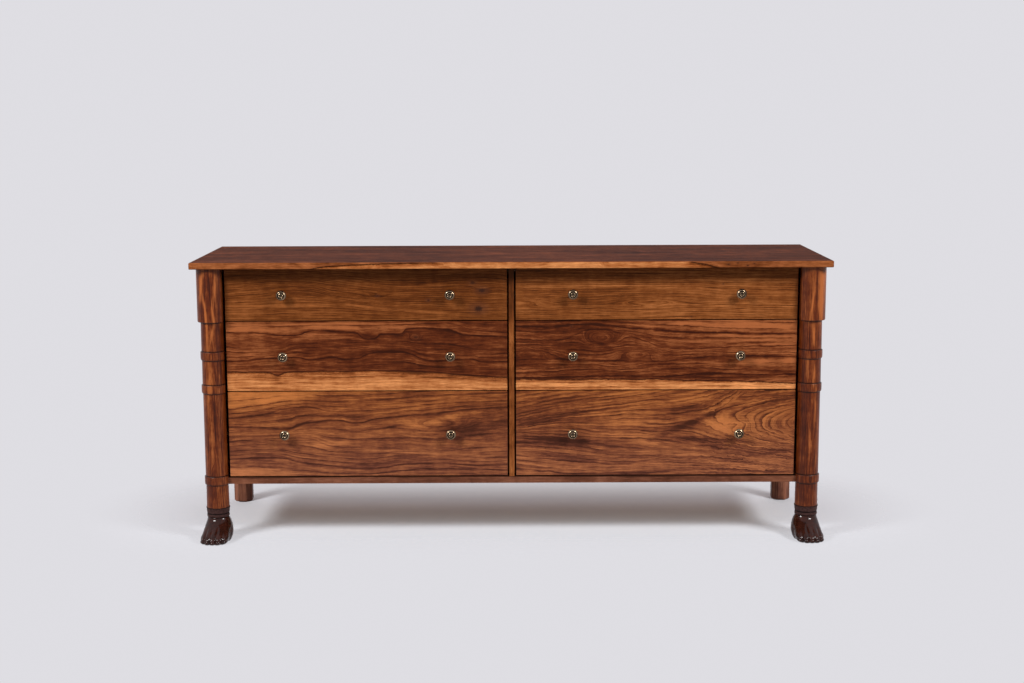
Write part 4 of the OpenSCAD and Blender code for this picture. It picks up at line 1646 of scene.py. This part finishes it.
@dataclass
class Drawer:
    """One drawer: its figured front, pale box, knobs and knob screws."""

    row: Row
    side: Side
    front_arris: float = 0.0011
    box_arris: float = 0.0015
    seed_spread: float = 1.7
    seed_step: float = 2.3

    @property
    def name(self) -> str:
        """The drawer's body, and the start of its pieces' names."""
        return f"{self.row.value}_{self.side.label}_drawer"

    def dress_front(self) -> None:
        """Finish the front in its own board."""
        low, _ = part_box(f"{self.name}_front")
        board = Walnut(FRONTS[(self.row, self.side)], Grain.ALONG, tuple(low))
        ease_arrises(board.dress_node(f"{self.name}_front", "walnut"), self.front_arris, ("+y",))

    def dress_box(self) -> None:
        """Finish the sides, back and bottom, and ease the edges that a hand meets."""
        number = len(self.name) + list(Row).index(self.row)
        seed = self.seed_spread * number + self.side.value
        lays = {
            "outer_side": Grain.BACKWARD, "inner_side": Grain.BACKWARD, "back": Grain.ALONG,
            "bottom": Grain.TOP,
        }
        for part, grain in lays.items():
            seed += self.seed_step
            piece = PaleWood(grain=grain, seed=seed).dress_node(f"{self.name}_{part}", "wood")
            if part != "bottom":
                ease_arrises(piece, self.box_arris, ("-z", "+y", "-y"))

    def build(self) -> None:
        """Dress the drawer and fit its hardware."""
        self.dress_front()
        self.dress_box()
        KnobPair(self.name).build()
        screws = frame["nodes"][f"{self.name}_knob_screws"]
        Steel().dress(screws, f"{self.name}_screw_steel")
        log.info("%s: front, box, knobs and screws", self.name)


COLUMN_STREAKS: dict[Side, tuple[Streak, ...]] = {
    Side.LEFT: (
        Streak(720, 0, 80, 60, -0.1), Streak(600, 0, 60, 60, -0.13),
        Streak(430, 0, 190, 60, -0.03), Streak(150, 0, 60, 60, -0.13),
        Streak(745, -25, 34, 4.5, 0.85, 0.12), Streak(690, -14, 36, 3.6, 0.75, -0.16),
        Streak(650, -11.5, 26, 3.4, 0.7), Streak(735, 16, 40, 3.6, 0.6, 0.05),
        Streak(668, 10, 38, 3.4, 0.6, -0.08), Streak(755, 2, 50, 9, -0.22),
        Streak(600, -9.5, 44, 3.4, 0.55), Streak(612, 5, 34, 4, 0.5, 0.2),
        Streak(470, 0, 40, 4, 0.5), Streak(420, -8, 70, 5, 0.35, 0.03),
        Streak(380, 8, 50, 3, -0.4), Streak(300, -2, 60, 6, 0.25),
    ),
    Side.RIGHT: (
        Streak(720, 0, 80, 60, 0.05), Streak(600, 0, 60, 60, -0.05),
        Streak(380, 0, 210, 60, -0.22), Streak(150, 0, 60, 60, -0.05),
        Streak(690, 22, 60, 7, 0.85, -0.03), Streak(760, 26, 40, 8, 0.45),
        Streak(712, 7, 60, 2.6, -0.4), Streak(690, -6, 50, 2.6, 0.5, 0.12),
        Streak(740, -24, 70, 12, -0.25), Streak(600, 4, 36, 5, 0.75, -0.08),
        Streak(500, -10, 40, 4, 0.45), Streak(480, 8, 40, 3.6, 0.45, 0.05),
        Streak(390, 14, 60, 3.2, 0.4), Streak(300, 0, 80, 3, 0.3, 0.02),
        Streak(330, -16, 80, 6, -0.3),
    ),
}

# Painted shade lines on the columns: heights in millimetres at the edges of the rings and under
# the capital, and how dark each is.
RING_SHADE_LINES: tuple[Pair, ...] = (
    (162.6, 0.95), (189.0, 0.95), (433.0, 0.95), (459.6, 0.95), (530.0, 0.95), (556.6, 0.95),
    (641.0, 0.9),
)

COLUMN = Tones((0.070, 0.010, 0.001), (0.138, 0.027, 0.004), (0.262, 0.073, 0.018))
CASE = Tones((0.105, 0.033, 0.016), (0.160, 0.055, 0.028), (0.225, 0.085, 0.045))
LEG = Tones((0.070, 0.022, 0.013), (0.110, 0.038, 0.023), (0.180, 0.068, 0.038))
# TOP is the top board's upper face: dark walnut, darkened further by painted shade so that it
# stays darker than the fronts under the lamps.
TOP = Tones((0.036, 0.0080, 0.0030), (0.068, 0.0160, 0.0060), (0.126, 0.0335, 0.0130))
EDGE = Tones((0.150, 0.041, 0.011), (0.250, 0.075, 0.023), (0.350, 0.115, 0.038))
# Painted shade: near-black tones for the drawer runners, so that where they show through the gaps
# beside the columns they are as dark as the shade there.
RUNNER_SHADE = Tones((0.020, 0.008, 0.005), (0.035, 0.014, 0.008), (0.060, 0.025, 0.014))

TOP_BOARD = Figure(
    TOP, EDGE, 1.6, pith=(240, 60), drift=20, taper=14, rings=60, sway=(16, 2.6), lines=0.35,
    bands=0.6, seed=52.6,
    streaks=(Streak(1640, 60, 300, 90, -0.15), Streak(1530, 0, 70, 3, -0.2)),
    sapwood=(
        Sapwood(
            ((0, -5), (330, -4), (360, 3), (395, 8), (497, 13), (598, 16), (700, 18), (765, 26),
                (1400, 27), (1430, 16), (1470, 9), (1510, -3), (1830, -5)),
            2.2, 12, 17,
        ),
    ),
    knots=(
        Knot(1530, 10, 2.6, 0.8, True), Knot(1556, 14, 2.2, 0.7, True),
        Knot(1584, 6, 2.8, 0.8, True), Knot(1603, 12, 2, 0.8, True),
    ),
)


@dataclass
class Case:
    """The case: top board, columns, rear legs, panels, rails and everything inside."""

    top_arris: float = 0.0024
    rail_arris: float = 0.001
    stile_arris: float = 0.0008

    def dress_top(self) -> None:
        """Finish the top board."""
        low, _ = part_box("top_board")
        finish = Walnut(TOP_BOARD, Grain.TOP, tuple(low), 0.6, 0.02)
        ease_arrises(finish.dress_node("top_board", "walnut"), self.top_arris)

    def dress_upright(self, side: Side) -> None:
        """Finish one column, its rear leg and its side panel.

        Args:
            side: The side that they stand on.
        """
        label, sign = side.label, side.value
        seed = 60.0 + 9.0 * sign
        column = Figure(
            COLUMN, pith=(9 * sign, 66), taper=-26 * sign, rings=150, sway=(8, 1.7), lines=0.42,
            bands=0.45, seed=seed, streaks=COLUMN_STREAKS[side], seams=RING_SHADE_LINES,
        )
        finish = Walnut(column, Grain.UPRIGHT, tuple(column_axis(side)), 0.32, 0.2)
        finish.dress_node(f"{label}_column", "walnut")

        low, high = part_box(f"{side.label}_rear_leg")
        middle = (low + high) / 2
        # Painted light: a pale upright streak down the leg's outer facet, where the lamp on that
        # side lights it.
        pale = Streak(130, -22 if side is Side.LEFT else 13, 300, 7, 0.6)
        leg = Figure(
            LEG, pith=(8, 80), rings=120, sway=(6, 1.4), lines=0.45, seed=seed + 3, streaks=(pale,)
        )
        finish = Walnut(leg, Grain.UPRIGHT, (middle.x, middle.y, 0.0), 0.4, 0.12)
        flatten(finish.dress_node(f"{label}_rear_leg", "walnut"))

        low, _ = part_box(f"{side.label}_side_panel")
        panel = Figure(CASE, pith=(190, 50), taper=20, rings=70, sway=(20, 3), seed=seed + 5)
        finish = Walnut(panel, Grain.SIDE, tuple(low))
        finish.dress_node(f"{label}_side_panel", "walnut")

    def dress_rails(self) -> None:
        """Finish the rail under the drawers and the stile between them."""
        low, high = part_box("bottom_rail")
        # A thin dark line runs along the rail's top edge, below the bottom drawers.
        dark_top_edge = Streak(800, high.z * PER_METRE - low.z * PER_METRE, 9000, 1.5, -1.5)
        rail = Figure(
            CASE, pith=(6, 90), rings=150, sway=(5, 0.4), lines=0.35, seed=71,
            streaks=(dark_top_edge, Streak(800, 10, 9000, 200, -0.08)),
        )
        piece = Walnut(rail, Grain.ALONG, tuple(low)).dress_node("bottom_rail", "walnut")
        ease_arrises(piece, self.rail_arris, ("+y",))
        low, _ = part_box("centre_stile")
        stile = Figure(
            HONEY, pith=(4, 70), rings=140, sway=(4, 1.2), lines=0.35, seed=83,
            # The dark patch at the stile's upper end is partly darker wood and partly painted
            # shade under the top board.
            streaks=(Streak(600, 10, 130, 300, -0.5),),
        )
        piece = Walnut(stile, Grain.UPRIGHT, tuple(low)).dress_node("centre_stile", "walnut")
        ease_arrises(piece, self.stile_arris, ("+y",))

    def dress_inside(self) -> None:
        """Finish the boards that only open drawers and the back show."""
        lays = {
            "back_panel": Grain.ALONG, "bottom_board": Grain.TOP, "top_front_rail": Grain.TOP,
            "top_back_rail": Grain.TOP, "centre_divider": Grain.BACKWARD,
            "drawer_runners": Grain.BACKWARD,
        }
        for number, (part, grain) in enumerate(lays.items()):
            # The drawer runners take the painted-shade tones.
            tones = RUNNER_SHADE if part == "drawer_runners" else PaleWood.tones
            PaleWood(tones, grain, 90.0 + 3.1 * number).dress_node(part, "wood")
        Steel().dress(frame["nodes"]["top_screws"], "top_screw_steel")

    def build(self) -> None:
        """Dress the whole case and carve its feet."""
        self.dress_top()
        for side in Side:
            self.dress_upright(side)
            CarvedFoot(side).build()
            log.info("%s side: column, carved foot, rear leg and side panel", side.label)
        self.dress_rails()
        self.dress_inside()
        log.info("case: top board, rails, stile and inside boards")


# Studio --------------------------------------------------------------------


@dataclass
class Studio:
    """A pale seamless room that glows softly behind, two soft lamps in front, and the camera."""

    backdrop: Colour = (0.735, 0.727, 0.765)
    room_tint: Colour = (1.0, 0.86, 0.85)
    room_light: float = 0.1
    back_light: float = 0.95
    floor_radius: float = 1.7
    floor_steps: int = 96
    lamp_at: tuple[float, float, float] = (2.9, -2.2, 2.8)
    lamp_width: float = 1.0
    lamp_watts: float = 152.0
    camera_at: tuple[float, float, float] = (-0.0015, -4.5398, 1.2616)
    camera_turn: tuple[float, float, float] = (-0.039, -8.889, -0.206)
    focal_pixels: float = 1527.7
    image_width: int = 1024
    sensor: float = 36.0

    def build_camera(self) -> None:
        """Set the camera where the photographer's stood."""
        yaw, pitch, roll = (math.radians(v) for v in self.camera_turn)
        turn = (
            Matrix.Rotation(yaw, 3, "Z")
            @ Matrix.Rotation(math.pi / 2 + pitch, 3, "X")
            @ Matrix.Rotation(roll, 3, "Z")
        )
        data = bpy.data.cameras.new("camera")
        data.sensor_width = self.sensor
        data.lens = self.focal_pixels / self.image_width * self.sensor
        camera = add_object("camera", data)
        camera.matrix_world = Matrix.Translation(self.camera_at) @ turn.to_4x4()
        bpy.context.scene.camera = camera

    def build_lamp(self, side: Side, target: Vector) -> None:
        """Hang a square soft lamp beside the camera.

        Args:
            side: The side that it hangs on.
            target: The point that it looks at.
        """
        x, y, z = self.lamp_at
        at = Vector((x * side.value, y, z))
        data = bpy.data.lights.new(f"{side.label}_soft_lamp", "AREA")
        data.shape = "SQUARE"
        data.size = self.lamp_width
        data.energy = self.lamp_watts
        lamp = add_object(data.name, data)
        lamp.location = at
        lamp.rotation_euler = (target - at).to_track_quat("-Z", "Y").to_euler()

    def build_room(self) -> None:
        """Light the object plainly, and show the backdrop's colour to all that looks at it."""
        world = bpy.data.worlds.new("room")
        world.use_nodes = True
        bpy.context.scene.world = world
        recipe = Recipe(world.node_tree)
        way = recipe.split(recipe.node("ShaderNodeTexCoord").outputs["Generated"])
        strength = way[1].rise(0.05, 0.7) * self.back_light + self.room_light
        sockets = {0: recipe.seen()}
        glows = ((self.room_tint, strength), (self.backdrop, 1.0))
        for number, (colour, power) in enumerate(glows, 1):
            glow = {"Color": (*colour, 1.0), "Strength": power}
            sockets[number] = recipe.node("ShaderNodeBackground", None, glow).outputs[0]
        both = recipe.node("ShaderNodeMixShader", None, sockets)
        recipe.node("ShaderNodeOutputWorld", None, {"Surface": both.outputs[0]})

    def build_floor(self) -> None:
        """Lay the floor, a fan inside a ring."""
        steps = self.floor_steps
        a = circle(steps)[0]
        ring = np.stack([np.cos(a), np.sin(a), 0 * a], axis=-1)
        radius = self.floor_radius
        points = np.concatenate([[[0.0, 0.0, 0.0]], ring * radius / 2, ring * radius])
        around = [(1 + j, 1 + (j + 1) % steps) for j in range(steps)]
        faces = [[0, here, on] for here, on in around]
        faces += [[here, steps + here, steps + on, on] for here, on in around]
        floor = mesh_piece("floor", points, faces)
        FloorPaper().dress(floor, "floor_paper")
        floor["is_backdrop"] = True

    def build(self) -> None:
        """Set up the room, floor, lamps and camera."""
        low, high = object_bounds()
        self.build_room()
        self.build_floor()
        for side in Side:
            self.build_lamp(side, (low + high) / 2)
        self.build_camera()
        bpy.context.scene.view_settings.view_transform = "Standard"
        log.info("studio: floor, room, %d lamps and camera", len(Side))


def main() -> None:
    """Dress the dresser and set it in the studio."""
    logging.basicConfig(level=logging.INFO, format="%(name)s: %(message)s")
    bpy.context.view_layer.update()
    Case().build()
    for row in Row:
        for side in Side:
            Drawer(row, side).build()
    Studio().build()


if __name__ == "__main__":
    main()
